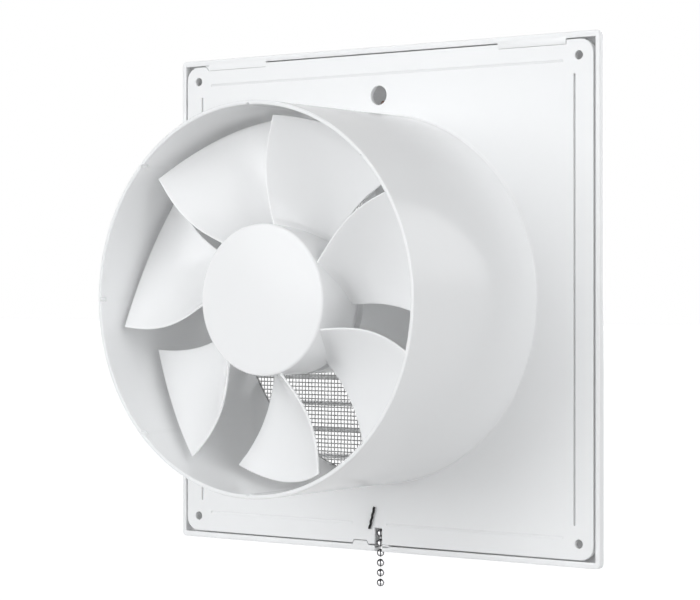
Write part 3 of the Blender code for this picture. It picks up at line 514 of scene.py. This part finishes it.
def ramp(material, value, limits, results=(0.0, 1.0), smooth=False):
    """Takes a value between two limits to a number between two results."""
    node = material.node_tree.nodes.new("ShaderNodeMapRange")
    if smooth:
        node.interpolation_type = "SMOOTHSTEP"
    node.inputs["From Min"].default_value, node.inputs["From Max"].default_value = limits
    node.inputs["To Min"].default_value, node.inputs["To Max"].default_value = results
    feed(material, node.inputs["Value"], value)
    return node.outputs["Result"]


def blended(material, share, first, second):
    """A colour between two others, each a plain colour or another node's output."""
    node = material.node_tree.nodes.new("ShaderNodeMix")
    node.data_type = "RGBA"
    feed(material, node.inputs["Factor"], share)
    feed(material, node.inputs["A"], first)
    feed(material, node.inputs["B"], second)
    return node.outputs["Result"]


def noise(material, scale, detail):
    """A noise that keeps its place on the piece."""
    nodes = material.node_tree.nodes
    place = nodes.new("ShaderNodeTexCoord")
    node = nodes.new("ShaderNodeTexNoise")
    node.inputs["Scale"].default_value = scale
    node.inputs["Detail"].default_value = detail
    feed(material, node.inputs["Vector"], place.outputs["Object"])
    return node.outputs["Fac"]


def object_axes(material):
    """The X, Y and Z of each point of the piece, in metres."""
    nodes = material.node_tree.nodes
    place = nodes.new("ShaderNodeTexCoord")
    split = nodes.new("ShaderNodeSeparateXYZ")
    feed(material, split.inputs["Vector"], place.outputs["Object"])
    return split.outputs


def seen_rays(owner):
    """One for rays from the camera, from glossy surfaces and through glass, nought for others."""
    ray = owner.node_tree.nodes.new("ShaderNodeLightPath")
    share = ray.outputs["Is Camera Ray"]
    for name in ("Is Glossy Ray", "Is Transmission Ray"):
        share = arithmetic(owner, "MAXIMUM", share, ray.outputs[name])
    return share


# Materials


def surface(
    name, colour, roughness, metallic=0.0, grain=0.0, grain_size=0.4, tone=0.02, gloss=1.5
):
    """A finish with a fine grain in its bump and a slow, slight change of tone over the piece."""
    material = bpy.data.materials.new(name)
    material.use_nodes = True
    nodes = material.node_tree.nodes
    shader = nodes["Principled BSDF"].inputs
    shader["Metallic"].default_value = metallic
    shader["IOR"].default_value = gloss
    slow = noise(material, tone_scale, 2.0)
    darker = (*[value * (1 - tone) for value in colour], 1.0)
    lighter = (*[min(value * (1 + tone), 1.0) for value in colour], 1.0)
    feed(material, shader["Base Color"], blended(material, slow, darker, lighter))
    smoothest = roughness * (1 - roughness_change)
    roughest = roughness * (1 + roughness_change)
    feed(material, shader["Roughness"], ramp(material, slow, (0.0, 1.0), (smoothest, roughest)))
    if grain > 0:
        bump = nodes.new("ShaderNodeBump")
        bump.inputs["Strength"].default_value = grain
        bump.inputs["Distance"].default_value = grain_height * MM
        feed(material, bump.inputs["Height"], noise(material, 1.0 / (grain_size * MM), 3.0))
        feed(material, shader["Normal"], bump.outputs["Normal"])
    return material


def bead_finish():
    """Bright beads with painted dark reflections: a painted dark rim round each bead's outline and
    a painted dark line down its middle, both as seen from one bearing.
    """
    material = surface("bead_chrome", (0.8, 0.8, 0.81), 0.1, metallic=1.0)
    axes = object_axes(material)
    radius = bead_radius * MM
    turn = math.radians(bead_painted_line_bearing)
    x = arithmetic(material, "SUBTRACT", axes["X"], chain_x * MM)
    y = arithmetic(material, "SUBTRACT", axes["Y"], chain_y * MM)
    from_x = arithmetic(material, "MULTIPLY", x, math.cos(turn) / radius)
    from_y = arithmetic(material, "MULTIPLY", y, math.sin(turn) / radius)
    side = arithmetic(material, "ABSOLUTE", arithmetic(material, "ADD", from_x, from_y))
    above_end = arithmetic(material, "SUBTRACT", axes["Z"], chain_end_z * MM)
    height = arithmetic(material, "PINGPONG", above_end, bead_pitch / 2 * MM)
    level = arithmetic(material, "DIVIDE", height, radius)
    side_squared = arithmetic(material, "MULTIPLY", side, side)
    reach = arithmetic(material, "MULTIPLY_ADD", level, level, side_squared)

    # Painted reflections: a dark rim towards each bead's outline and a dark line down its middle,
    # both across the bearing given above
    painted_rim = ramp(material, reach, bead_painted_rim_range, smooth=True)
    painted_line = ramp(material, side, bead_painted_line_range, smooth=True)
    painted_marks = arithmetic(material, "MAXIMUM", painted_rim, painted_line)
    on_bead = arithmetic(material, "LESS_THAN", reach, bead_limit)
    reflection_share = arithmetic(material, "MULTIPLY", painted_marks, on_bead)

    colour = material.node_tree.nodes["Principled BSDF"].inputs["Base Color"]
    bright = colour.links[0].from_socket
    feed(material, colour, blended(material, reflection_share, bright, (*bead_painted_reflection_colour, 1.0)))
    return material


def cover_finish():
    """White plastic that lets some light through its sloping front, but not its rear rim."""
    material = surface(
        "cover_white", housing_colour, 0.2, grain=0.06, tone=0.006, gloss=housing_gloss
    )
    rim_to_front = (-cover_straight_depth * MM, -cover_light_depth * MM)
    share = ramp(material, object_axes(material)["Y"], rim_to_front, (0.0, cover_translucence))
    shader = material.node_tree.nodes["Principled BSDF"].inputs
    feed(material, shader["Subsurface Weight"], share)
    shader["Subsurface Radius"].default_value = (1.0, 1.0, 1.0)
    shader["Subsurface Scale"].default_value = cover_light_reach * MM
    return material


housing_white = surface(
    "housing_white", housing_colour, 0.17, grain=0.06, tone=0.006, gloss=housing_gloss
)
cover_white = cover_finish()
impeller_white = surface(
    "impeller_white", impeller_colour, 0.15, grain=0.03, tone=0.005, gloss=1.42
)
screen_grey = surface("screen_grey", (0.66, 0.66, 0.66), 0.4, tone=0.03)
chrome = surface("chrome", (0.72, 0.72, 0.73), 0.09, metallic=1.0)
steel = surface("steel", (0.58, 0.58, 0.6), 0.28, metallic=1.0, grain=0.2, tone=0.04)
lamination = surface("lamination", (0.3, 0.31, 0.33), 0.5, metallic=1.0, grain=0.4, tone=0.08)
copper = surface("copper", (0.62, 0.26, 0.1), 0.32, metallic=1.0, grain=0.6, tone=0.1)
brass = surface("brass", (0.74, 0.56, 0.24), 0.25, metallic=1.0, grain=0.1, tone=0.04)
bronze = surface("bronze", (0.45, 0.3, 0.15), 0.45, metallic=1.0, grain=0.4, tone=0.06)
cream = surface("cream", (0.68, 0.64, 0.53), 0.45, grain=0.2, tone=0.03)
dark_plastic = surface("dark_plastic", (0.02, 0.02, 0.022), 0.45, grain=0.2, tone=0.05)
blue_lead = surface("blue_lead", (0.03, 0.08, 0.33), 0.4, grain=0.1, tone=0.05)
brown_lead = surface("brown_lead", (0.12, 0.045, 0.02), 0.4, grain=0.1, tone=0.05)
thread_black = surface(
    "thread_black", (0.004, 0.004, 0.004), 0.8, grain=0.6, grain_size=0.1, tone=0.2
)
bead_chrome = bead_finish()


def set_finish(obj, material):
    """Gives an object one material in place of those it has."""
    obj.data.materials.clear()
    obj.data.materials.append(material)


def add_piece(obj, body, slot, material, *nodes):
    """Gives a piece its finish and its body, and hides the solids that it stands for."""
    set_finish(obj, material)
    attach(obj, body)
    if nodes:
        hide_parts(*nodes)


def numbered(name, count):
    """The names of a repeated solid's copies."""
    return [f"{name}_{number + 1}" for number in range(count)]


def finish_solids():
    """Finishes for the solids that are seen as they are."""
    brackets = ["front_bearing_bracket", "rear_bearing_bracket"]
    screws = numbered("motor_screw", 4) + numbered("clamp_screw", 2)
    finishes = [
        (housing_white, ["cable_clamp"]),
        (steel, ["motor_shaft", "switch_pivot_pin", "return_spring"] + brackets + screws),
        (lamination, ["stator_core", "rotor"]),
        (chrome, ["chain_coupling"]),
        (copper, numbered("coil", 4)),
        (brass, ["hub_insert", "contact_stud"] + numbered("terminal_screw", 3)),
        (bronze, ["front_bush", "rear_bush", "contact_leaf"]),
        (cream, ["terminal_block", "switch_body", "switch_lid", "switch_lever"]),
        (dark_plastic, ["front_sleeve", "rear_sleeve"]),
        (blue_lead, ["motor_lead_1", "switch_lead_1"]),
        (brown_lead, ["motor_lead_2", "switch_lead_2"]),
    ]
    for material, names in finishes:
        for name in names:
            set_finish(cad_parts[name], material)


# Housing


def shoulder_arc(radius, angles):
    """Points of the round shoulder beside the left hook, between two angles in degrees."""
    centre_x = hook_x[1] + clearance + shoulder_radius
    centre_z = plate_half - shoulder_radius
    points = []
    for step in range(shoulder_steps + 1):
        turn = math.radians(angles[0] + (angles[1] - angles[0]) * step / shoulder_steps)
        points.append((centre_x + radius * math.cos(turn), centre_z + radius * math.sin(turn)))
    return points


def plate_outline():
    """The base plate's edge, with the hooks' and the latch's recesses and the chain's notch."""
    half = plate_half
    recess_z = hook_lower_z - hook_gap
    inner_x = hook_x[0] + hook_overlap
    outer_x = hook_x[1] + clearance
    latch_rise = latch_top_z + clearance
    latch_half_top = latch_top_width / 2 + clearance
    latch_half_low = latch_half_top + latch_slope * (latch_rise + half)
    points = [(half, half, plate_corner_radius)]
    points += [(x, z, 0.0) for x, z in shoulder_arc(shoulder_radius, shoulder_angles)]
    points += [
        (inner_x, recess_z, fine_edge),
        (inner_x, half, fine_edge),
        (-inner_x, half, fine_edge),
        (-inner_x, recess_z, fine_edge),
        (-outer_x, recess_z, fine_edge),
        (-outer_x, half, fine_edge),
        (-half, half, plate_corner_radius),
        (-half, -half, plate_corner_radius),
        (notch_x[0], -half, fine_edge),
        (notch_x[0], notch_top_z, soft_edge),
        (notch_x[1], notch_top_z, soft_edge),
        (notch_x[1], -half, fine_edge),
        (latch_centre_x - latch_half_low, -half, latch_recess_radius),
        (latch_centre_x - latch_half_top, latch_rise, latch_recess_radius),
        (latch_centre_x + latch_half_top, latch_rise, latch_recess_radius),
        (latch_centre_x + latch_half_low, -half, latch_recess_radius),
        (half, -half, plate_corner_radius),
    ]
    return rounded_corners(points)


def groove_outlines():
    """The thin lines sunk in the plate's rear face."""
    half = groove_width / 2
    length = groove_half_length
    upper = (groove_offset - half, groove_offset + half)
    lower = (-groove_offset - half, -groove_offset + half)
    lines = [
        ((-length, length), upper),
        (upper, (-length, length)),
        (lower, (-length, length)),
        ((-length, groove_break[0]), lower),
        ((groove_break[1], length), lower),
    ]
    end_radius = half * groove_end_share
    return [rounded_rectangle(x, z, end_radius, groove_end_steps) for x, z in lines]


def groove_slopes():
    """Wedges that fill the level grooves, rising outwards, so that each keeps one steep wall."""
    bm = bmesh.new()
    half = groove_width / 2
    section = [
        (-groove_depth + overlap, groove_offset - half),
        (-groove_slope_depth, groove_offset - half),
        (-groove_slope_top, groove_offset + half),
        (-groove_depth + overlap, groove_offset + half),
    ]
    for sign, x0, x1 in (
        (1, -groove_half_length, groove_half_length),
        (-1, -groove_half_length, groove_break[0]),
        (-1, groove_break[1], groove_half_length),
    ):
        ends = []
        for x in (x0 + overlap, x1 - overlap):
            ends.append([bm.verts.new((x * MM, y * MM, sign * z * MM)) for y, z in section])
        bm.faces.new(ends[0])
        bm.faces.new(ends[1][::-1])
        join_loops(bm, ends)
    face_outwards(bm)
    return mesh_from(bm, "slopes")


def make_plate():
    """The square base plate: a grooved rear skin on a plain sheet, with its round holes."""
    holes = [
        circle((x, z), wall_hole_radius)
        for x in (-wall_hole_offset, wall_hole_offset)
        for z in (-wall_hole_offset, wall_hole_offset)
    ]
    holes.append(circle(cable_hole, cable_hole_radius))
    holes.append(circle((0.0, 0.0), duct_radius - plate_bore_tuck, duct_steps))
    outlines = [plate_outline()] + holes
    skin_y = (-groove_depth, 0.0)
    base_y = (-plate_thickness, -groove_depth + overlap)
    bm = bmesh.new()
    bm.from_mesh(flat_mesh("skin", outlines + groove_outlines(), skin_y, plate_edge_radius))
    bm.from_mesh(flat_mesh("base", outlines, base_y, plate_front_edge_radius))
    bm.from_mesh(groove_slopes())
    plate = shaded_object(bm, "housing_plate")
    add_piece(plate, "housing", "white_plastic", housing_white, "fan_housing")


def rim_notches():
    """Round cutters across the duct's bore wall, evenly spaced at its rear rim."""
    bm = bmesh.new()
    for number in range(rim_notch_count):
        angle = 2 * math.pi * number / rim_notch_count
        x = duct_bore_radius * math.cos(angle)
        z = duct_bore_radius * math.sin(angle)
        place = Matrix.Translation((x * MM, duct_length * MM, z * MM))
        bmesh.ops.create_cone(
            bm,
            cap_ends=True,
            segments=rim_notch_sides,
            radius1=rim_notch_radius * MM,
            radius2=rim_notch_radius * MM,
            depth=2 * rim_notch_depth * MM,
            matrix=place @ Matrix.Rotation(math.pi / 2, 4, "X"),
        )
    return bm


def make_duct():
    """The round duct, its filleted foot in the plate and the collar that holds the screen."""
    foot_radius = duct_radius + duct_foot_fillet
    inside_radius = duct_radius - duct_foot_tuck
    collar_rear_y = -plate_thickness + overlap
    profile = [
        (duct_bore_radius, duct_length, duct_edge_radius),
        (duct_radius, duct_length, duct_edge_radius),
        (duct_radius, 0.0, duct_foot_fillet),
        (foot_radius, 0.0, 0.0),
        (foot_radius, -duct_foot_depth, 0.0),
        (inside_radius, -duct_foot_depth, 0.0),
        (inside_radius, collar_rear_y, 0.0),
        (collar_radius, collar_rear_y, 0.0),
        (collar_radius, collar_front_y, fine_edge),
        (collar_bore_radius, collar_front_y, fine_edge),
        (collar_bore_radius, duct_front_y, 0.0),
        (duct_bore_radius, duct_front_y, fine_edge),
    ]
    bm = turned(bmesh.new(), rounded_corners(profile), duct_steps)
    face_outwards(bm)
    duct = shaded_object(bm, "housing_duct", cutter=rim_notches())
    add_piece(duct, "housing", "white_plastic", housing_white)


def make_motor_mount():
    """The cup round the motor and the struts that carry it."""
    inner = cup_radius - cup_wall
    lip_inner = cup_lip_radius - cup_wall
    profile = [
        (cup_lip_radius, cup_rear_y, fine_edge),
        (cup_radius, cup_rear_y, soft_edge),
        (cup_radius, cup_front_y, cup_front_edge),
        (0.0, cup_front_y, 0.0),
        (0.0, cup_front_y + cup_wall, 0.0),
        (inner, cup_front_y + cup_wall, inner_edge),
        (inner, cup_rear_y - cup_wall, soft_edge),
        (lip_inner, cup_rear_y - cup_wall, soft_edge),
        (lip_inner, cup_lip_rear_y, fine_edge),
        (cup_lip_radius, cup_lip_rear_y, fine_edge),
    ]
    bm = turned(bmesh.new(), rounded_corners(profile), cup_steps)
    x = (cup_radius - cup_wall / 2, duct_radius - strut_tuck)
    y = (cup_front_y, cup_front_y + strut_depth)
    z = (-strut_width / 2, strut_width / 2)
    for number in range(strut_count):
        strut = rounded_box(bmesh.new(), x, y, z, strut_edge)
        turn = Matrix.Rotation(2 * math.pi / strut_count * number, 3, "Y")
        bmesh.ops.rotate(strut, verts=strut.verts, cent=(0, 0, 0), matrix=turn)
        bm.from_mesh(mesh_from(strut, "strut"))
    face_outwards(bm)
    mount = shaded_object(bm, "housing_motor_mount")
    add_piece(mount, "housing", "white_plastic", housing_white)


# Front cover


def cover_loop(bm, inset, y):
    """One loop of the frame: the cover's square outline drawn in by an inset, at one depth."""
    half = cover_half - inset
    radius = max(cover_corner_radius - inset * cover_corner_shrink, cover_least_corner)
    outline = rounded_rectangle((half, -half), (half, -half), radius, cover_corner_steps)
    return [bm.verts.new((x * MM, y * MM, z * MM)) for x, z in outline]


def make_cover():
    """The cover's frame: a straight rim, a sloping border and the window's edge, as (inset, y)."""
    slope = cover_half - cover_front_half
    window = cover_half - window_half
    window_inner = window - cover_wall
    slat_y = -cover_depth + slat_depth
    front_inner_y = -cover_depth + cover_wall
    profile = [
        (0.0, 0.0, cover_edge_radius),
        (0.0, -cover_straight_depth, cover_shoulder_edge),
        (slope, -cover_depth, cover_front_edge),
        (window, -cover_depth, window_edge),
        (window, slat_y, inner_edge),
        (window_inner, slat_y, inner_edge),
        (window_inner, front_inner_y, inner_edge),
        (slope + cover_wall * cover_slope_share, front_inner_y, inner_edge),
        (cover_wall, -cover_straight_depth - cover_inner_step, inner_edge),
        (cover_wall, 0.0, cover_edge_radius),
    ]
    bm = bmesh.new()
    loops = [cover_loop(bm, inset, y) for inset, y in rounded_corners(profile)]
    join_loops(bm, loops, closed=True)
    face_outwards(bm)
    notch_y = (-cover_notch_depth, cover_notch_rear_y)
    notch_z = (-cover_half - cover_notch_margin, cover_notch_top_z)
    notch = rounded_box(bmesh.new(), notch_x, notch_y, notch_z, 0.0)
    cover = shaded_object(bm, "front_cover_frame", cover_sharp_angle, notch)
    add_piece(cover, "cover_group", "white_plastic", cover_white, "front_cover")


def left_hook_outline():
    """The left hook, whose outer end is a tongue that follows the plate's round shoulder."""
    top_z = cover_half - cover_wall + hook_tuck
    slit_z = plate_half + shoulder_gap
    tongue = shoulder_arc(shoulder_radius + shoulder_gap, tongue_angles)
    outline = [(hook_x[0], top_z), (hook_x[0], hook_lower_z)] + tongue
    return outline + [(tongue[-1][0], slit_z), (hook_x[1], slit_z), (hook_x[1], top_z)]


def latch_outline():
    """The latch, which widens downwards."""
    low_z = -(cover_half - cover_wall) - hook_tuck
    half_top = latch_top_width / 2
    half_low = half_top + latch_slope * (latch_top_z - low_z)
    return [
        (latch_centre_x - half_low, low_z),
        (latch_centre_x + half_low, low_z),
        (latch_centre_x + half_top, latch_top_z),
        (latch_centre_x - half_top, latch_top_z),
    ]


def make_cover_details():
    """The thicker walls at the top and bottom, the two hooks and the tapered latch."""
    bm = bmesh.new()
    side = cover_half - cover_wall
    low_z = -side - rim_tuck
    rim_y = (-cover_straight_depth, -rim_setback)
    top_z = (cover_top_inner_z, side + rim_tuck)
    rounded_box(bm, (-side, side), rim_y, top_z, cover_top_edge)
    for x in ((-side, notch_x[0]), (notch_x[1], side)):
        rounded_box(bm, x, rim_y, (low_z, cover_bottom_inner_z), cover_bottom_edge)
    pad_x = (notch_x[0] - cover_pad_length, notch_x[0])
    rounded_box(bm, pad_x, rim_y, (low_z, cover_pad_z), cover_pad_edge)
    hook_y = (-hook_thickness, -hook_setback)
    hook_z = (hook_lower_z, side + hook_tuck)
    rounded_box(bm, (-hook_x[1], -hook_x[0]), hook_y, hook_z, right_hook_edge)
    bm.from_mesh(flat_mesh("latch", [latch_outline()], hook_y, latch_edge))
    bm.from_mesh(flat_mesh("left_hook", [left_hook_outline()], hook_y, left_hook_edge))
    in_fixed_order(bm)
    details = shaded_object(bm, "front_cover_hooks")
    add_piece(details, "cover_group", "white_plastic", housing_white)


def make_slats():
    """Level slats across the window."""
    bm = bmesh.new()
    reach = window_half + cover_wall / 2
    half = slat_thickness / 2
    y = (-cover_depth + overlap, -cover_depth + slat_depth)
    for number in range(-slat_pairs, slat_pairs + 1):
        z = number * slat_pitch
        rounded_box(bm, (-reach, reach), y, (z - half, z + half), slat_edge)
    slats = shaded_object(bm, "front_cover_slats")
    add_piece(slats, "cover_group", "white_plastic", cover_white)


# Insect screen


def make_screen():
    """Woven wires both ways in a thin ring, each passing over and under the ones it crosses."""
    bm = bmesh.new()
    count = int(screen_bore_radius // screen_pitch)
    for across in (False, True):
        for number in range(-count, count + 1):
            offset = number * screen_pitch
            reach = math.sqrt(screen_bore_radius**2 - offset**2) + screen_wire_tuck
            steps = max(2, int(2 * reach / screen_pitch))
            path = []
            for step in range(steps + 1):
                along = -reach + 2 * reach * step / steps
                phase = math.pi * (along / screen_pitch + number + across)
                y = screen_y + screen_weave * math.cos(phase)
                path.append((offset, y, along) if across else (along, y, offset))
            tube_along(bm, path, screen_wire_radius, screen_wire_sides)
    ring_radius = screen_radius - screen_ring_inset
    ring = [
        (ring_radius, screen_y + screen_ring_half),
        (ring_radius, screen_y - screen_ring_half),
        (screen_bore_radius, screen_y - screen_ring_half),
        (screen_bore_radius, screen_y + screen_ring_half),
    ]
    turned(bm, ring, screen_ring_steps)
    face_outwards(bm)
    screen = shaded_object(bm, "insect_mesh", fine_sharp_angle)
    add_piece(screen, "housing", "screen_wire", screen_grey, "insect_screen")


# Impeller


def through_four(values, share):
    """A smooth curve through four values spaced evenly from 0 to 1."""
    total = 0.0
    for index, value in enumerate(values):
        weight = 1.0
        for other in range(4):
            if other != index:
                weight *= (3 * share - other) / (index - other)
        total += value * weight
    return total


def blade_point(radius, chord):
    """A place on the first blade's middle surface; chord is 0 at its rear edge, 1 at its front."""
    share = max((radius - hub_radius) / (blade_tip_radius - hub_radius), 0.0)
    rear_angle = blade_phase + through_four(blade_rear_sweep, share)
    front_angle = blade_phase + through_four(blade_front_sweep, share)
    rear_y = through_four(blade_rear_y, share)
    front_y = through_four(blade_front_y, share)
    dip = blade_root_dip + (blade_tip_dip - blade_root_dip) * share
    angle = math.radians(rear_angle + (front_angle - rear_angle) * chord)
    y = rear_y + (front_y - rear_y) * chord + dip * chord * (1 - chord)
    return Vector((-radius * math.cos(angle), y, radius * math.sin(angle)))


def blade_normal(radius, chord):
    """The direction square to the first blade's middle surface."""
    chord_step = 0.002
    radius_step = 0.05
    across = blade_point(radius, chord + chord_step) - blade_point(radius, chord - chord_step)
    outward = blade_point(radius + radius_step, chord) - blade_point(radius - radius_step, chord)
    return across.cross(outward).normalized()


def edge_stations(length, half, plain):
    """Distances along a length, close together within a rounded edge at each end."""
    ends = []
    for step in range(blade_edge_steps + 1):
        ends.append(half * (1 - math.cos(math.pi / 2 * step / blade_edge_steps)))
    middle = [half + (length - 2 * half) * step / plain for step in range(1, plain)]
    return ends + middle + [length - value for value in reversed(ends)]


def edge_share(distance, half):
    """How much of the full thickness is left at a distance from a rounded edge."""
    if distance >= half:
        return 1.0
    return math.sqrt(max(0.0, 1 - (1 - distance / half) ** 2))


def blade_height(rise, from_edge, from_tip):
    """Half the blade's thickness, rounded off at its edges and flared where it leaves the hub."""
    half = blade_thickness / 2
    height = half * edge_share(from_edge, half)
    height *= edge_share(from_tip, half)
    if rise < blade_fillet:
        lean = 1 - max(rise, 0.0) / blade_fillet
        flare = blade_fillet * (1 - math.sqrt(max(0.0, 1 - lean * lean)))
        height += flare * edge_share(from_edge, blade_fillet * blade_fillet_fade) ** 2
    return height


def make_blade_mesh():
    """The first blade: two curved sheets, one on each side of the middle surface, joined up."""
    half = blade_thickness / 2
    root = hub_radius - hub_wall * blade_root_share
    span = blade_tip_radius - root
    rows = []
    for reach in edge_stations(span, half, blade_span_steps):
        radius = root + reach
        length = (blade_point(radius, 1.0) - blade_point(radius, 0.0)).length
        row = []
        for along in edge_stations(length, half, blade_chord_steps):
            chord = along / length
            centre = blade_point(radius, chord)
            from_edge = min(along, length - along)
            height = blade_height(radius - hub_radius, from_edge, span - reach)
            offset = blade_normal(radius, chord) * height
            row.append((centre + offset, centre - offset))
        rows.append(row)
    bm = bmesh.new()
    for side in (0, 1):
        sheet = [[bm.verts.new(pair[side] * MM) for pair in row] for row in rows]
        for low, high in zip(sheet, sheet[1:]):
            for step in range(len(low) - 1):
                face = (low[step], low[step + 1], high[step + 1], high[step])
                bm.faces.new(face if side == 0 else face[::-1])
    bmesh.ops.remove_doubles(bm, verts=bm.verts, dist=blade_weld_distance * MM)
    bmesh.ops.holes_fill(bm, edges=bm.edges)
    face_outwards(bm)
    return mesh_from(bm, "blade")


def make_impeller():
    """The hub, open towards the motor, its boss and the blades round it."""
    inner = hub_radius - hub_wall
    inner_y = hub_face_y - hub_face_thickness
    profile = [
        (0.0, hub_face_y, 0.0),
        (hub_radius, hub_face_y, hub_edge_radius),
        (hub_radius, hub_front_y, soft_edge),
        (inner, hub_front_y, soft_edge),
        (inner, inner_y, hub_inner_edge),
        (boss_radius + boss_taper, inner_y, inner_edge),
        (boss_radius, boss_front_y, fine_edge),
        (boss_bore_radius, boss_front_y, fine_edge),
        (boss_bore_radius, inner_y, 0.0),
        (0.0, inner_y, 0.0),
    ]
    bm = turned(bmesh.new(), rounded_corners(profile, hub_corner_steps), hub_steps)
    blade = make_blade_mesh()
    for number in range(blade_count):
        copy = blade.copy()
        copy.transform(Matrix.Rotation(2 * math.pi / blade_count * number, 4, "Y"))
        bm.from_mesh(copy)
    face_outwards(bm)
    impeller = shaded_object(bm, "impeller_wheel", fine_sharp_angle)
    add_piece(impeller, "rotor_group", "impeller_plastic", impeller_white, "impeller")


# Pull chain and thread


def bead_places():
    """Bead centres from the free end up to the one that the coupling holds."""
    places = [
        Vector((chain_x, chain_y, chain_end_z + bead_pitch * number))
        for number in range(straight_beads)
    ]
    lean = coupling_y - chain_y
    rise = math.sqrt(bead_pitch**2 - lean**2)
    places.append(Vector((chain_x, coupling_y, places[-1].z + rise)))
    places.append(places[-1] + Vector((0.0, 0.0, bead_pitch)))
    return places


def make_chain():
    """Round beads on a thin wire."""
    places = bead_places()
    bm = bmesh.new()
    for centre in places:
        bmesh.ops.create_uvsphere(
            bm,
            u_segments=bead_rings[0],
            v_segments=bead_rings[1],
            radius=bead_radius * MM,
            matrix=Matrix.Translation(centre * MM),
        )
    for ends in zip(places, places[1:]):
        tube_along(bm, ends, link_radius, link_sides)
    in_fixed_order(bm)
    chain = shaded_object(bm, "bead_chain", fine_sharp_angle)
    add_piece(chain, "chain_group", "chain", bead_chrome, "pull_chain")


def make_thread():
    """The short wavy thread on the plate's rear face."""
    path = []
    for step in range(thread_steps + 1):
        share = step / thread_steps
        x = thread_top[0] + (thread_bottom[0] - thread_top[0]) * share
        z = thread_top[1] + (thread_bottom[1] - thread_top[1]) * share
        x += thread_wave * math.sin(2 * math.pi * thread_waves * share)
        path.append((x, clearance + thread_radius, z))
    bm = tube_along(bmesh.new(), path, thread_radius, thread_sides)
    thread = shaded_object(bm, "thread_tail", fine_sharp_angle)
    add_piece(thread, "housing", "black_thread", thread_black, "black_thread")


# Stage


def make_camera():
    """The camera, level with the fan and to one side of its axis, at a bearing in degrees."""
    data = bpy.data.cameras.new("camera")
    data.lens = camera_lens
    data.sensor_width = camera_sensor
    data.shift_y = camera_shift_y
    data.clip_start, data.clip_end = [limit * MM for limit in camera_clip]
    camera = new_object("camera", data)
    turn = math.radians(camera_bearing)
    camera.location = [value * MM for value in camera_place]
    aim = Vector((math.sin(turn), -math.cos(turn), -camera_fall))
    camera.rotation_euler = aim.to_track_quat("-Z", "Y").to_euler()
    bpy.context.scene.camera = camera


def make_lamps():
    """Broad lamps, each by its bearing from the fan's axis, its height in degrees and strength."""
    for name, (bearing, height, strength) in lamps.items():
        data = bpy.data.lights.new(name, "SUN")
        data.angle = math.radians(lamp_spread)
        data.energy = strength
        data.color = lamp_colour
        lamp = new_object(name, data)
        turn = math.radians(bearing)
        rise = math.radians(height)
        level = math.cos(rise)
        towards = Vector((-math.sin(turn) * level, math.cos(turn) * level, math.sin(rise)))
        lamp.location = towards * lamp_distance * MM
        lamp.rotation_euler = (-towards).to_track_quat("-Z", "Y").to_euler()


def make_world():
    """White where the camera or a glossy surface looks, and softer for the light that it gives."""
    world = bpy.data.worlds.new("studio")
    bpy.context.scene.world = world
    world.use_nodes = True
    nodes = world.node_tree.nodes
    nodes.clear()
    mix = nodes.new("ShaderNodeMixShader")
    feed(world, mix.inputs["Fac"], seen_rays(world))
    for socket, strength in ((mix.inputs[1], world_level), (mix.inputs[2], 1.0)):
        background = nodes.new("ShaderNodeBackground")
        background.inputs["Color"].default_value = white
        background.inputs["Strength"].default_value = strength
        feed(world, socket, background.outputs["Background"])
    out = nodes.new("ShaderNodeOutputWorld")
    feed(world, out.inputs["Surface"], mix.outputs["Shader"])


def make_floor():
    """A pale floor well below the fan, with the glow that makes it white outside the shadow."""
    bm = bmesh.new()
    bmesh.ops.create_grid(bm, x_segments=1, y_segments=1, size=floor_half * MM)
    floor = new_object("floor", mesh_from(bm, "floor"))
    floor.location = (0.0, 0.0, floor_z * MM)
    material = bpy.data.materials.new("floor_white")
    material.use_nodes = True
    nodes = material.node_tree.nodes
    shader = nodes["Principled BSDF"]
    shader.inputs["Base Color"].default_value = floor_colour
    shader.inputs["Roughness"].default_value = floor_roughness
    glow = nodes.new("ShaderNodeEmission")
    glow.inputs["Color"].default_value = white
    strength = arithmetic(material, "MULTIPLY", seen_rays(material), floor_glow)
    feed(material, glow.inputs["Strength"], strength)
    both = nodes.new("ShaderNodeAddShader")
    feed(material, both.inputs[0], shader.outputs["BSDF"])
    feed(material, both.inputs[1], glow.outputs["Emission"])
    feed(material, nodes["Material Output"].inputs["Surface"], both.outputs["Shader"])
    set_finish(floor, material)


finish_solids()
make_plate()
make_duct()
make_motor_mount()
make_cover()
make_cover_details()
make_slats()
make_screen()
make_impeller()
make_chain()
make_thread()
make_camera()
make_world()
make_lamps()
make_floor()
bpy.context.scene.view_settings.view_transform = "Standard"
